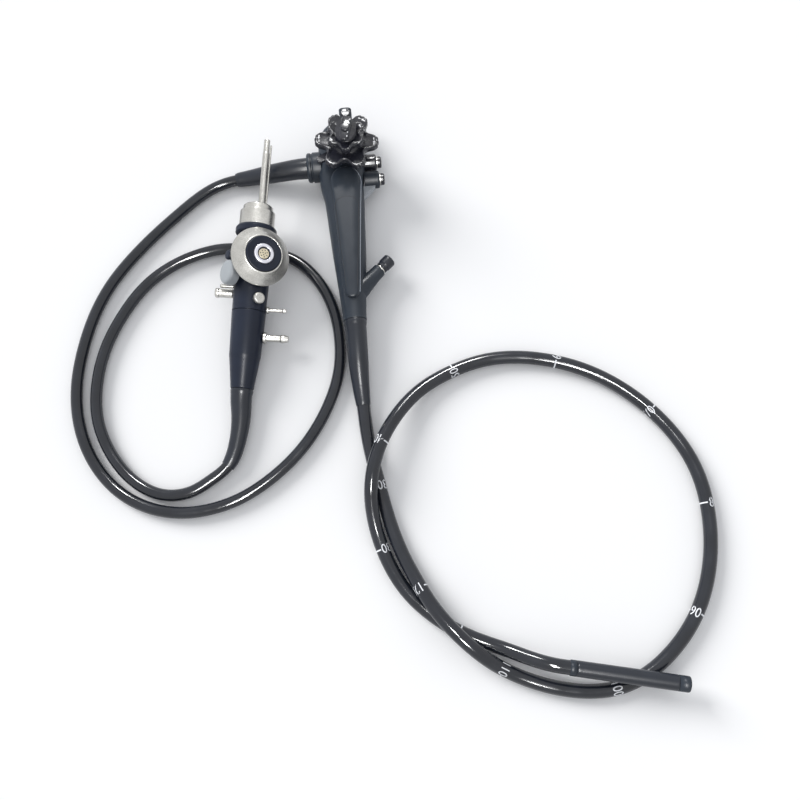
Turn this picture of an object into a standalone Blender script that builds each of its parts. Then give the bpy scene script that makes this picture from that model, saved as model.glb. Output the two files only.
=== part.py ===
# Flexible endoscope, a colonoscope lying on a table, built as its separate pieces.
# The control head lies on its flat back cover with the two angulation knobs up. The insertion tube
# leaves the grip and makes one loop, and the universal cord makes a loop and a half to its connector.
# The frame is in metres with +Z up. The origin is on the table, in the flat face of the back cover,
# on the knobs' axis. +Y runs along the grip to the top of the head, +X points to the valves.
# Every size below is in millimetres, and MM turns it into metres.

import math

import bmesh
import bpy
import numpy as np
from mathutils import Matrix, Vector

MM = 0.001

# Clearances
SEAT = 0.3          # between two fixed pieces that touch
RUN = 0.3           # between two pieces that turn or slide past each other
CUT_L = 20.0        # length of a cutter that only has to reach out of its piece

# Knob stack on the vertical knob axis, from the table up
COVER_T = 4.0       # back cover
PLATE_T = 3.0       # chassis plate
DECK_Z = 34.5       # top of the head's housing
BOSS_R = 12.0
BOSS_H = 7.5
LEVER_T = 3.0       # up and down lock lever
LEVER_ANGLE = 204.0
LEVER_REACH = 33.0
LOBES = 6           # grips of each knob
UD_KNOB_D = 62.0
UD_VALLEY_R = 21.5
UD_KNOB_T = 10.0
UD_PHASE = 172.0    # heading of one lobe
LR_KNOB_D = 38.0
LR_VALLEY_R = 14.5
LR_KNOB_T = 11.0
LR_PHASE = 85.0
LOCK_KNOB_D = 20.0
LOCK_KNOB_T = 6.5
LOCK_TILT = 76.0
KNOB_GAP = 1.0      # air between one knob and the next
SHAFT_R = 2.6
TUBE_WALL = 1.1     # wall of the two turning tube shafts
DRUM_GROOVE_R = 6.13
DRUM_R = 8.5
DRUM_T = 5.4
PULLEY_WELL_R = 10.0

# Head housing: stations along the grip with the centre line, half width, bottom, top and corner
# radius of the section there
GRIP_X = -7.5
GRIP_END_X = -7.9
GRIP_END_Y = -170.5
GRIP_END_R = 10.8
GRIP_END_Z = 18.0
HEAD_BOTTOM = COVER_T + SEAT
HEAD_TOP_Y = 38.0
HEEL_Y = -34.0      # where the grip starts, behind the back cover
COVER_FRONT_Y = 33.0
COVER_BACK_Y = HEEL_Y + SEAT
BRANCH_R = 8.2      # branch of the biopsy port where it leaves the grip
WEB_OUTLINE = ((0.0, -96.0), (9.0, -103.0), (14.5, -118.0), (4.0, -140.0), (-6.0, -140.0))
WEB_T = 10.0        # web between branch and grip

# Raised cover on the front of the grip, with a round end below the knobs
GRIP_COVER_T = 3.0
ARCH_X = -4.5
ARCH_Y = -32.0
ARCH_R = 14.6
COVER_END_Y = -152.0
COVER_LIFT = SEAT + 0.15      # keeps the cover's flat facets off the housing's curve

# Chassis plate behind the back cover, and the heights of the stack above it
PLATE_LOW = (-19.0, -28.0, COVER_T + SEAT)
PLATE_HIGH = (11.0, 20.0, COVER_T + SEAT + PLATE_T)
PLATE_TOP_Z = COVER_T + SEAT + PLATE_T
WELL_TOP_Z = 30.0
LR_DRUM_Z = PLATE_TOP_Z + SEAT + 1.0
UD_DRUM_Z = LR_DRUM_Z + DRUM_T + 1.2
LR_TUBE_R = SHAFT_R + RUN + TUBE_WALL
UD_TUBE_R = LR_TUBE_R + RUN + TUBE_WALL
LEVER_Z = DECK_Z + BOSS_H + RUN
UD_KNOB_Z = LEVER_Z + LEVER_T + KNOB_GAP
LR_KNOB_Z = UD_KNOB_Z + UD_KNOB_T + KNOB_GAP
LOCK_KNOB_Z = LR_KNOB_Z + LR_KNOB_T + KNOB_GAP
SHAFT_TOP_Z = LOCK_KNOB_Z + LOCK_KNOB_T

# Valves on the front of the head
VALVE_Z = 18.5
AIR_WATER_Y = -5.3
SUCTION_Y = -24.3
VALVE_SEAT_X = 13.5
VALVE_R = 8.5
VALVE_BORE_R = 6.1
VALVE_CAP_R = 5.75
VALVE_STROKE = 4.5
AIR_WATER_REACH = 27.0
SUCTION_REACH = 28.5
VALVE_CAP_PROUD = 5.2
VALVE_STEM_R = 2.4

# Remote switches: one on top of a small panel at the end of the head, two on the front
SWITCH_R = 4.2
PANEL_SWITCH_R = 4.7
SWITCH_TRAVEL = 1.0
SWITCH_DEPTH = SWITCH_TRAVEL + 2.0
SWITCH_PROUD = 1.6
SIDE_SWITCHES = (("switch_2", 12.5), ("switch_3", 24.5))
PANEL_X = 1.0
PANEL_HALF = 6.3
PANEL_LOW_Z = 11.0
PANEL_HIGH_Z = 29.0
PANEL_TOP_Y = 54.0
PANEL_SWITCH_Y = 46.6

# Universal cord leaving the head
CORD_D = 10.8
COLLAR_R = 14.75
COLLAR_L = 14.2
COLLAR_SEAT_X = -27.0
COLLAR_Y = -5.5
COLLAR_Z = 19.0
CORD_BOOT_R = 10.3
CORD_BOOT_END_R = 7.1

# Insertion tube
TUBE_D = 12.4
BOOT_END_R = 6.9

# Biopsy port
PORT_DIR = (0.743, 0.669)
PORT_X = 20.3
PORT_Y = -120.5
PORT_Z = 18.0
PORT_R = 6.65
PORT_ROOT = 37.0
PORT_CAP_L = 14.5
PORT_CAP_R = 5.9

# Bending section at the tip of the insertion tube
LINKS = 7
PITCH = 10.5
LINK_R = 5.5
LINK_WALL = 1.2
LUG_OUT_T = 0.55    # thickness of the outer lug, on a link's front end
LUG_IN_T = 0.35     # thickness of the inner lug, on a link's rear end
LUG_R = 2.0
RIVET_R = 0.55
BEND_PER_JOINT = 45.0
COVER_R = 6.8       # outside of the rubber sleeve over the links
COVER_WALL = 0.65
BASE_RING_L = 12.0
BASE_NECK_L = 6.0
TIP_NECK_L = 6.0
TIP_L = 16.0
BEND_BASE = (158.2, -502.7, TUBE_D + SEAT + COVER_R)
BEND_HEADING = -13.4

# Light guide connector, in its own frame: x to its right, y along its axis to the rod, z up
CONNECTOR_AT = (-95.5, -81.0, 28.6)
CONNECTOR_AZIMUTH = 9.2
CONNECTOR_PITCH = 6.75
CONNECTOR_ROLL = 27.0
BODY_R = 16.4
BODY_FRONT = 2.0
BODY_BACK = -73.0
TAIL_R = 14.7
TAIL_CONE = -119.0
TAIL_BACK = -147.0
TAIL_END_R = 9.6
FLANGE_R = 19.5
FLANGE_T = 7.7
GUIDE_COLLAR_R = 16.7
GUIDE_COLLAR_T = 15.7
GUIDE_NECK_R = 14.2
GUIDE_NECK_T = 6.0
ROD_R = 3.25
ROD_L = 68.0
ROD_X = 2.8
PIPE_R = 1.0
PIPE_L = 64.0
VIDEO_Y = -24.0
VIDEO_R = 28.0
VIDEO_NECK_R = 14.0
VIDEO_SEAT_Z = 8.0
VIDEO_FLANGE_Z = FLANGE_R + SEAT
VIDEO_TOP_Z = VIDEO_FLANGE_Z + 12.4
INSULATOR_R = 16.8
VIDEO_RING_R = 9.4
PIN_BLOCK_R = 5.5
SIDE_CAP_ANGLE = 138.0 + CONNECTOR_ROLL     # up from the connector's right
SIDE_CAP_Y = -40.0
CAP_LUG_Y = -22.5   # black lug in front of the cap
CAP_LUG_R = 5.2
CAP_LUG_H = 9.6
SUCTION_NIPPLE_Y = -56.0
SUCTION_NIPPLE_L = 16.6
CONNECTOR_BOOT_R = 8.2
CONNECTOR_BOOT_END_R = 6.8


# Scene and materials

for old in list(bpy.data.objects):
    bpy.data.objects.remove(old)


def material(name, colour, roughness, metallic=0.0):
    """A Principled material with one colour."""
    mat = bpy.data.materials.new(name)
    mat.use_nodes = True
    shader = mat.node_tree.nodes["Principled BSDF"]
    shader.inputs["Base Color"].default_value = (*colour, 1.0)
    shader.inputs["Roughness"].default_value = roughness
    shader.inputs["Metallic"].default_value = metallic
    mat.diffuse_color = (*colour, 1.0)
    return mat


HEAD_PLASTIC = material("head_plastic", (0.035, 0.042, 0.055), 0.42)
KNOB_PLASTIC = material("knob_plastic", (0.05, 0.052, 0.065), 0.5)
TUBE_SKIN = material("tube_skin", (0.045, 0.055, 0.07), 0.38)
SOFT_RUBBER = material("soft_rubber", (0.03, 0.033, 0.04), 0.6)
STEEL = material("steel", (0.62, 0.61, 0.58), 0.3, 1.0)
GOLD = material("gold_contacts", (0.83, 0.7, 0.42), 0.35, 1.0)
LIGHT_CAP = material("light_cap", (0.45, 0.48, 0.52), 0.5)
LENS = material("lens_glass", (0.25, 0.3, 0.36), 0.08)
SPRING_STEEL = material("spring_steel", (0.5, 0.5, 0.5), 0.35, 1.0)


# Modelling helpers. Points are in millimetres.

def add_object(name, bm, mat, matrix=None, parent=None):
    """Turn a bmesh into a named object and place it by matrix, under parent if one is given."""
    bmesh.ops.remove_doubles(bm, verts=bm.verts, dist=1e-6)
    bmesh.ops.dissolve_degenerate(bm, edges=bm.edges, dist=1e-7)
    bmesh.ops.recalc_face_normals(bm, faces=bm.faces)
    mesh = bpy.data.meshes.new(name)
    bm.to_mesh(mesh)
    bm.free()
    mesh.shade_smooth()
    mesh.set_sharp_from_angle(angle=math.radians(35.0))
    mesh.materials.append(mat)
    obj = bpy.data.objects.new(name, mesh)
    bpy.context.scene.collection.objects.link(obj)
    if parent is not None:
        obj.parent = parent
    if matrix is not None:
        obj.matrix_local = matrix
    return obj


def at(x, y, z):
    """Matrix that moves by millimetres."""
    return Matrix.Translation(Vector((x, y, z)) * MM)


def along_x(x, y, z):
    """Matrix at a point that lays a turned piece's axis along +X."""
    return at(x, y, z) @ Matrix.Rotation(math.radians(90.0), 4, "Y")


def along_y(x, y, z):
    """Matrix at a point that lays a turned piece's axis along +Y."""
    return at(x, y, z) @ Matrix.Rotation(math.radians(-90.0), 4, "X")


def skin(rings, loop=False):
    """A closed body through rings of points: capped at both ends, or joined round when loop is true."""
    bm = bmesh.new()
    rows = []
    for ring in rings:
        rows.append([bm.verts.new(Vector(p) * MM) for p in ring])
    count = len(rows[0])
    pairs = list(zip(rows, rows[1:]))
    if loop:
        pairs.append((rows[-1], rows[0]))
    for low, high in pairs:
        for i in range(count):
            j = (i + 1) % count
            bm.faces.new((low[i], low[j], high[j], high[i]))
    if not loop:
        bm.faces.new(rows[0])
        bm.faces.new(rows[-1])
    return bm


def circle(radius, z, count, x=0.0, y=0.0):
    """Points of a level circle."""
    turn = [2.0 * math.pi * i / count for i in range(count)]
    return [(x + radius * math.cos(a), y + radius * math.sin(a), z) for a in turn]


def turned(profile, count, loop=False):
    """Body turned about Z through (radius, height) pairs. A loop is a ring with a bore."""
    return skin([circle(max(r, 0.02), z, count) for r, z in profile], loop)


def lobed(radius, valley, z, count, phase):
    """Points of a level star outline: the radius swings from valley to radius, flat on each lobe."""
    ring = []
    for i in range(count):
        angle = 2.0 * math.pi * i / count
        swing = 0.5 + 0.5 * math.cos(LOBES * (angle - phase))
        swing = min(1.0, 1.12 * swing)
        r = valley + (radius - valley) * swing
        ring.append((r * math.cos(angle), r * math.sin(angle), z))
    return ring


def rounded_section(centre_x, half, low, high, corner, y, per_corner=6):
    """Points of an upright rounded rectangle across the grip, at one y."""
    corner = min(corner, half, 0.5 * (high - low))
    ring = []
    corners = (
        (centre_x + half - corner, high - corner, 0.0),
        (centre_x - half + corner, high - corner, 0.5 * math.pi),
        (centre_x - half + corner, low + corner, math.pi),
        (centre_x + half - corner, low + corner, 1.5 * math.pi),
    )
    for cx, cz, start in corners:
        for i in range(per_corner):
            angle = start + 0.5 * math.pi * i / (per_corner - 1)
            ring.append((cx + corner * math.cos(angle), y, cz + corner * math.sin(angle)))
    return ring


def cutter(name, bm, matrix=None, parent=None):
    """A hidden object that only cuts."""
    obj = add_object(name, bm, HEAD_PLASTIC, matrix, parent)
    obj.hide_render = True
    obj.display_type = "WIRE"
    return obj


def boolean(obj, tool, operation):
    """Boolean modifier with the exact solver."""
    mod = obj.modifiers.new(tool.name, "BOOLEAN")
    mod.operation = operation
    mod.solver = "EXACT"
    mod.object = tool


def box_bm(low, high):
    """A plain box between two corners."""
    bm = bmesh.new()
    bmesh.ops.create_cube(bm, size=1.0)
    for v in bm.verts:
        v.co = Vector([MM * (a + (b - a) * (c + 0.5)) for a, b, c in zip(low, high, v.co)])
    return bm


def smooth_curve(points, first, last, count=2400):
    """Natural cubic spline through the points, by the distance between them, as dense points.
    Only the stretch between the points numbered first and last is returned."""
    pts = np.array(points, float)
    knots = np.concatenate(([0.0], np.cumsum(np.linalg.norm(np.diff(pts, axis=0), axis=1))))
    gap = np.diff(knots)
    size = len(pts)
    matrix = np.eye(size)
    right = np.zeros((size, 3))
    for i in range(1, size - 1):
        matrix[i, i - 1:i + 2] = (gap[i - 1], 2.0 * (gap[i - 1] + gap[i]), gap[i])
        right[i] = 6.0 * ((pts[i + 1] - pts[i]) / gap[i] - (pts[i] - pts[i - 1]) / gap[i - 1])
    bend = np.linalg.solve(matrix, right)
    s = np.linspace(knots[first], knots[last], count)
    k = np.clip(np.searchsorted(knots, s, side="right") - 1, 0, size - 2)
    before = (knots[k + 1] - s)[:, None]
    after = (s - knots[k])[:, None]
    h = gap[k][:, None]
    curve = (bend[k] * before ** 3 + bend[k + 1] * after ** 3) / (6.0 * h)
    curve += (pts[k] / h - bend[k] * h / 6.0) * before
    curve += (pts[k + 1] / h - bend[k + 1] * h / 6.0) * after
    return curve


def even_points(curve, step, square):
    """Points at even distances along a dense curve, which keep the seating gap at both ends.
    One more point close to each end keeps the end faces square to the curve."""
    run = np.concatenate(([0.0], np.cumsum(np.linalg.norm(np.diff(curve, axis=0), axis=1))))
    low = SEAT
    high = run[-1] - SEAT
    count = max(2, int(round((high - low) / step)))
    s = np.linspace(low, high, count + 1)
    s = np.concatenate(([low, low + square], s[1:-1], [high - square, high]))
    return np.stack([np.interp(s, run, curve[:, i]) for i in range(3)], axis=1)


def boot(name, route, last, profile, mat, count=18, stations=10):
    """Strain relief: round sections carried along a smooth route from its start to its point last.
    profile gives (share of the length, radius) pairs, straight between them."""
    curve = smooth_curve(route, 0, last)
    run = np.concatenate(([0.0], np.cumsum(np.linalg.norm(np.diff(curve, axis=0), axis=1))))
    shares = sorted(set([s for s, _ in profile] + [i / stations for i in range(stations + 1)]))
    rings = []
    for share in shares:
        radius = np.interp(share, [s for s, _ in profile], [r for _, r in profile])
        here = np.array([np.interp(share * run[-1], run, curve[:, i]) for i in range(3)])
        low = np.array([np.interp(share * run[-1] - 1.0, run, curve[:, i]) for i in range(3)])
        high = np.array([np.interp(share * run[-1] + 1.0, run, curve[:, i]) for i in range(3)])
        forward = Vector(high - low).normalized()
        side = forward.cross(Vector((0.0, 0.0, 1.0))).normalized()
        up = side.cross(forward)
        ring = []
        for i in range(count):
            a = 2.0 * math.pi * i / count
            ring.append(Vector(here) + side * (radius * math.cos(a)) + up * (radius * math.sin(a)))
        rings.append(ring)
    return add_object(name, skin(rings), mat)


def cord(name, route, first, last, diameter, mat, step=2.5):
    """Flexible tube along a smooth route, a point every two and a half diameters."""
    points = even_points(smooth_curve(route, first, last), step * diameter, 0.1 * diameter)
    points[:, 2] = np.maximum(points[:, 2], 0.5 * diameter)
    curve = bpy.data.curves.new(name, "CURVE")
    curve.dimensions = "3D"
    spline = curve.splines.new("POLY")
    spline.points.add(len(points) - 1)
    for target, p in zip(spline.points, points):
        target.co = (*(p * MM), 1.0)
    curve.bevel_depth = 0.5 * diameter * MM
    curve.bevel_resolution = 2
    curve.use_fill_caps = True
    curve.materials.append(mat)
    obj = bpy.data.objects.new(name, curve)
    bpy.context.scene.collection.objects.link(obj)
    return obj


# Back cover: a flat moulded plate under the head, on which the head lies

def head_half_width(y):
    """Centre line and half width of the head at one y."""
    table = (
        (HEAD_TOP_Y, -2.0, 12.0), (34.0, -4.0, 15.5), (28.0, -5.5, 19.0), (16.0, -6.0, 22.5),
        (0.0, -6.5, 23.0), (-16.0, -7.7, 22.3), (-30.0, -8.8, 21.0), (-43.0, GRIP_X, 19.5),
        (-60.0, GRIP_X, 18.4), (-77.0, GRIP_X, 17.5), (-105.0, GRIP_X, 15.9),
        (-140.0, -7.7, 13.1), (-164.0, GRIP_END_X, 11.2), (GRIP_END_Y, GRIP_END_X, GRIP_END_R),
    )
    ys = [row[0] for row in table][::-1]
    centre = np.interp(y, ys, [row[1] for row in table][::-1])
    half = np.interp(y, ys, [row[2] for row in table][::-1])
    return float(centre), float(half)


def head_heights(y):
    """Bottom, top and corner radius of the head's section at one y."""
    table = (
        (HEAD_TOP_Y, 7.0, 29.0, 5.0), (34.0, HEAD_BOTTOM, 32.5, 8.0),
        (28.0, HEAD_BOTTOM, 34.0, 9.5), (16.0, HEAD_BOTTOM, DECK_Z, 10.0),
        (HEEL_Y, HEAD_BOTTOM, DECK_Z, 10.5), (-43.0, 1.0, DECK_Z, 12.0),
        (-60.0, 1.0, 34.0, 13.0), (-77.0, 1.6, 33.5, 13.5), (-105.0, 3.0, 32.4, 13.5),
        (-140.0, 5.4, 30.6, 12.0), (-164.0, 6.8, 29.1, 11.0),
        (GRIP_END_Y, GRIP_END_Z - GRIP_END_R, GRIP_END_Z + GRIP_END_R, GRIP_END_R),
    )
    ys = [row[0] for row in table][::-1]
    return tuple(float(np.interp(y, ys, [row[i] for row in table][::-1])) for i in (1, 2, 3))


def cover_outline(inset, z):
    """Plan of the back cover: the head's own plan, drawn in by inset."""
    ys = np.linspace(COVER_BACK_Y + inset, COVER_FRONT_Y - inset, 9)
    right = []
    left = []
    for y in ys:
        centre, half = head_half_width(float(y))
        right.append((centre + half - 2.0 - inset, float(y), z))
        left.append((centre - half + 2.0 + inset, float(y), z))
    return right + left[::-1]


def make_back_cover():
    rings = (
        cover_outline(1.6, 0.0),
        cover_outline(0.4, 0.7),
        cover_outline(0.0, 1.8),
        cover_outline(0.0, COVER_T),
    )
    add_object("back_cover", skin(rings), HEAD_PLASTIC)


# Grip housing: one moulded shell from the knobs to the boot, with the branch of the biopsy port

SECTION_YS = (38.0, 36.5, 34.0, 28.0, 16.0, 0.0, -16.0, HEEL_Y, -43.0, -60.0, -77.0,
              -105.0, -140.0, -164.0, GRIP_END_Y)


def port_matrix():
    """Frame at the base of the biopsy cap, with z out along the branch."""
    out = Vector((PORT_DIR[0], PORT_DIR[1], 0.0)).normalized()
    up = Vector((0.0, 0.0, 1.0))
    side = up.cross(out)
    turn = Matrix((side, up, out)).transposed().to_4x4()
    return at(PORT_X, PORT_Y, PORT_Z) @ turn


def make_grip_housing():
    rings = []
    for y in SECTION_YS:
        centre, half = head_half_width(y)
        low, high, corner = head_heights(y)
        rings.append(rounded_section(centre, half, low, high, corner, y))
    housing = add_object("grip_housing", skin(rings), HEAD_PLASTIC)

    branch = cutter("branch_tool", turned((
        (BRANCH_R, -PORT_ROOT), (BRANCH_R - 0.6, -2.0 * PORT_R), (PORT_R, -1.2 * PORT_R),
        (PORT_R, -0.8), (PORT_R - 0.8, 0.0),
    ), 20), port_matrix())
    boolean(housing, branch, "UNION")

    web = bmesh.new()
    low = [web.verts.new(Vector((x, y, PORT_Z - 0.5 * WEB_T)) * MM) for x, y in WEB_OUTLINE]
    high = [web.verts.new(Vector((x, y, PORT_Z + 0.5 * WEB_T)) * MM) for x, y in WEB_OUTLINE]
    web.faces.new(low)
    web.faces.new(high)
    for i in range(len(WEB_OUTLINE)):
        j = (i + 1) % len(WEB_OUTLINE)
        web.faces.new((low[i], low[j], high[j], high[i]))
    boolean(housing, cutter("web_tool", web), "UNION")

    boss = cutter("boss_tool", turned((
        (BOSS_R + 1.5, DECK_Z - 3.0), (BOSS_R + 1.5, DECK_Z + 0.5 * BOSS_H),
        (BOSS_R, DECK_Z + BOSS_H),
    ), 32))
    boolean(housing, boss, "UNION")

    recess = cutter("plate_recess_tool", box_bm(
        (PLATE_LOW[0] - SEAT, PLATE_LOW[1] - SEAT, 0.0),
        (PLATE_HIGH[0] + SEAT, PLATE_HIGH[1] + SEAT, PLATE_TOP_Z + SEAT)))
    boolean(housing, recess, "DIFFERENCE")
    well = cutter("pulley_well_tool", turned(((PULLEY_WELL_R, 0.0), (PULLEY_WELL_R, WELL_TOP_Z)), 24))
    boolean(housing, well, "DIFFERENCE")
    hole = cutter("shaft_hole_tool", turned((
        (UD_TUBE_R + RUN, WELL_TOP_Z - 1.0), (UD_TUBE_R + RUN, WELL_TOP_Z + CUT_L)), 20))
    boolean(housing, hole, "DIFFERENCE")

    seats = (("air_water", AIR_WATER_Y), ("suction", SUCTION_Y))
    for name, y in seats:
        pocket = turned(((VALVE_R + SEAT, 0.0), (VALVE_R + SEAT, CUT_L)), 24)
        boolean(housing, cutter(name + "_pocket_tool", pocket, along_x(VALVE_SEAT_X, y, VALVE_Z)),
                "DIFFERENCE")
    for name, y in SIDE_SWITCHES:
        pocket = cutter(name + "_pocket_tool", switch_pocket(SWITCH_R),
                        along_x(side_switch_seat(y), y, VALVE_Z))
        boolean(housing, pocket, "DIFFERENCE")
    seat = turned(((COLLAR_R + SEAT, 0.0), (COLLAR_R + SEAT, -2.0 * COLLAR_L)), 32)
    turn = along_x(COLLAR_SEAT_X, COLLAR_Y, COLLAR_Z)
    boolean(housing, cutter("collar_seat_tool", seat, turn), "DIFFERENCE")


# Grip cover: a thin raised shell on the front of the grip, with a round end below the knobs

def cover_half_width(y):
    """Centre line and half width of the grip cover at one y."""
    if y > ARCH_Y:
        return ARCH_X, math.sqrt(max(ARCH_R ** 2 - (y - ARCH_Y) ** 2, 1.0))
    table = ((COVER_END_Y, -7.8, 4.0), (COVER_END_Y + 6.0, -7.8, 7.0), (-105.0, -6.8, 9.8),
             (-60.0, -5.4, 12.6),
             (ARCH_Y, ARCH_X, ARCH_R))
    ys = [row[0] for row in table]
    centre = np.interp(y, ys, [row[1] for row in table])
    half = np.interp(y, ys, [row[2] for row in table])
    return float(centre), float(half)


def deck_height(x, y, offset):
    """Height of the housing's front surface at a point, moved outwards by offset."""
    centre, half = head_half_width(y)
    _, high, corner = head_heights(y)
    beyond = abs(x - centre) - (half - corner)
    if beyond <= 0.0:
        return high + offset
    reach = corner + offset
    return high - corner + math.sqrt(max(reach ** 2 - beyond ** 2, 0.0))


def make_grip_cover():
    ys = [ARCH_Y + ARCH_R * c for c in (0.98, 0.9, 0.75, 0.5, 0.25, 0.0)]
    ys += [HEEL_Y, -43.0, -60.0, -77.0, -105.0, -140.0]
    ys += [COVER_END_Y + back for back in (6.0, 2.0, 0.0)]
    rings = []
    across = 9
    for y in ys:
        centre, half = cover_half_width(y)
        inner = []
        outer = []
        for i in range(across):
            u = -1.0 + 2.0 * i / (across - 1)
            x = centre + half * u
            rise = COVER_LIFT + 0.7 + (GRIP_COVER_T - 0.7) * (1.0 - u ** 6) * end_fade(y)
            inner.append((x, y, deck_height(x, y, COVER_LIFT)))
            outer.append((x, y, deck_height(x, y, rise)))
        rings.append(outer + inner[::-1])
    add_object("grip_cover", skin(rings), HEAD_PLASTIC)


def end_fade(y):
    """Thickness of the grip cover falls off over the last few millimetres at both ends."""
    top = ARCH_Y + ARCH_R - y
    bottom = y - COVER_END_Y
    return max(0.0, min(1.0, (min(top, bottom) / 3.5))) ** 0.5


# Chassis: the plate behind the back cover, with the fixed shaft on which both drums turn

def make_chassis():
    add_object("chassis_plate", box_bm(PLATE_LOW, PLATE_HIGH), STEEL)
    foot = PLATE_TOP_Z + SEAT
    add_object("angulation_shaft", turned((
        (SHAFT_R + 2.4, foot), (SHAFT_R + 2.4, foot + 0.7), (SHAFT_R, foot + 0.7),
        (SHAFT_R, SHAFT_TOP_Z),
    ), 20), STEEL)
    cap = SHAFT_TOP_Z + SEAT
    add_object("shaft_cap", turned((
        (4.4, cap), (4.4, cap + 0.9), (3.6, cap + 1.7), (0.0, cap + 1.9),
    ), 20), STEEL)


# Drums: a wire drum and its tube shaft in one, one inside the other on the fixed shaft

def drum(name, z, bore, tube, top):
    """Grooved drum at height z with a tube shaft that reaches up to top."""
    groove = 0.9
    add_object(name, turned((
        (bore, z), (DRUM_R, z), (DRUM_R, z + groove), (DRUM_GROOVE_R, z + groove + 0.9),
        (DRUM_GROOVE_R, z + DRUM_T - groove - 0.9), (DRUM_R, z + DRUM_T - groove),
        (DRUM_R, z + DRUM_T), (tube, z + DRUM_T), (tube, top), (bore, top),
    ), 20, loop=True), STEEL)


def make_drums():
    drum("lr_drum", LR_DRUM_Z, SHAFT_R + RUN, LR_TUBE_R, LR_KNOB_Z + 0.7 * LR_KNOB_T)
    drum("ud_drum", UD_DRUM_Z, LR_TUBE_R + RUN, UD_TUBE_R, UD_KNOB_Z + 0.7 * UD_KNOB_T)


# Knobs: star shaped hand wheels with a dished face and a raised rim

def star_knob(name, z, thick, diameter, valley, tube, bore, phase, count):
    """Star knob on a tube shaft: bore fits the tube up to 0.7 of its height, then a smaller bore."""
    r = 0.5 * diameter
    step = z + 0.7 * thick + SEAT
    top = z + thick
    hub = 0.42 * r

    def star(radius_drop, height):
        return lobed(r - radius_drop, valley - radius_drop, height, count, math.radians(phase))

    rings = (
        circle(tube + SEAT, z, count), circle(hub, z, count), star(3.0, z + 0.9),
        star(0.0, z + 3.2), star(0.0, top - 3.0), star(1.4, top - 0.9),
        circle(0.56 * r, top - 2.6, count), circle(hub + 1.0, top - 2.4, count),
        circle(hub - 0.4, top, count), circle(bore, top, count), circle(bore, step, count),
        circle(tube + SEAT, step, count),
    )
    return add_object(name, skin(rings, loop=True), KNOB_PLASTIC)


def make_knobs():
    star_knob("ud_knob", UD_KNOB_Z, UD_KNOB_T, UD_KNOB_D, UD_VALLEY_R, UD_TUBE_R,
              LR_TUBE_R + RUN, UD_PHASE, 48)
    star_knob("lr_knob", LR_KNOB_Z, LR_KNOB_T, LR_KNOB_D, LR_VALLEY_R, LR_TUBE_R,
              SHAFT_R + RUN, LR_PHASE, 36)


# Locks: a lever ring under the big knob, and a winged knob on top of the small one

def make_locks():
    ring_r = BOSS_R + 1.0
    count = 40
    heading = math.radians(LEVER_ANGLE)
    outline_low = []
    for i in range(count):
        a = heading + 2.0 * math.pi * i / count
        away = abs((a - heading + math.pi) % (2.0 * math.pi) - math.pi)
        radius = ring_r
        if away < 0.26:
            radius = min(LEVER_REACH, 3.6 / max(math.sin(away), 0.05))
            radius = max(radius, ring_r)
        outline_low.append((radius * math.cos(a), radius * math.sin(a)))
    bore = UD_TUBE_R + 2.0 * RUN

    def level(points, z):
        return [(x, y, z) for x, y in points]

    inner = [(bore * math.cos(heading + 2.0 * math.pi * i / count),
              bore * math.sin(heading + 2.0 * math.pi * i / count)) for i in range(count)]
    rings = (level(inner, LEVER_Z), level(outline_low, LEVER_Z),
             level(outline_low, LEVER_Z + LEVER_T), level(inner, LEVER_Z + LEVER_T))
    add_object("ud_lock_lever", skin(rings, loop=True), KNOB_PLASTIC)

    z = LOCK_KNOB_Z
    r = 0.5 * LOCK_KNOB_D
    long_half = 1.25 * r
    short_half = 0.48 * r
    count = 32
    tilt = math.radians(LOCK_TILT)

    def wing(length, width, height):
        ring = []
        for i in range(count):
            a = 2.0 * math.pi * i / count
            u = length * math.copysign(abs(math.cos(a)) ** 0.7, math.cos(a))
            v = width * math.copysign(abs(math.sin(a)) ** 0.8, math.sin(a))
            ring.append((u * math.cos(tilt) - v * math.sin(tilt),
                         u * math.sin(tilt) + v * math.cos(tilt), height))
        return ring

    turn = [(p[0] * math.cos(tilt) - p[1] * math.sin(tilt),
             p[0] * math.sin(tilt) + p[1] * math.cos(tilt), 0.0) for p in circle(1.0, 0.0, count)]

    def disc(radius, height):
        return [(p[0] * radius, p[1] * radius, height) for p in turn]

    rings = (
        disc(SHAFT_R + RUN, z), disc(r - 0.6, z), disc(r, z + 0.6), disc(r, z + 1.6),
        wing(0.86 * long_half, 0.9 * r, z + 2.1), wing(long_half, short_half, z + 3.0),
        wing(long_half, short_half, z + LOCK_KNOB_T - 0.8),
        wing(long_half - 0.8, short_half - 0.7, z + LOCK_KNOB_T),
        disc(SHAFT_R + RUN, z + LOCK_KNOB_T),
    )
    add_object("lr_lock_knob", skin(rings, loop=True), KNOB_PLASTIC)


# Valves: sleeves on the front of the head, each with a sprung button

def spring(name, radius, wire, start, end, turns, matrix):
    """Compression spring along z: a wire of square section carried round a helix, with flat ends."""
    per_turn = 10
    steps = turns * per_turn
    rings = []
    for i in range(steps + 1):
        a = 2.0 * math.pi * i / per_turn
        z = start + wire + (end - start - 2.0 * wire) * i / steps
        c = math.cos(a)
        s = math.sin(a)
        corners = ((radius - wire, z - wire), (radius + wire, z - wire),
                   (radius + wire, z + wire), (radius - wire, z + wire))
        rings.append([(r * c, r * s, h) for r, h in corners])
    return add_object(name, skin(rings), SPRING_STEEL, matrix)


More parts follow.
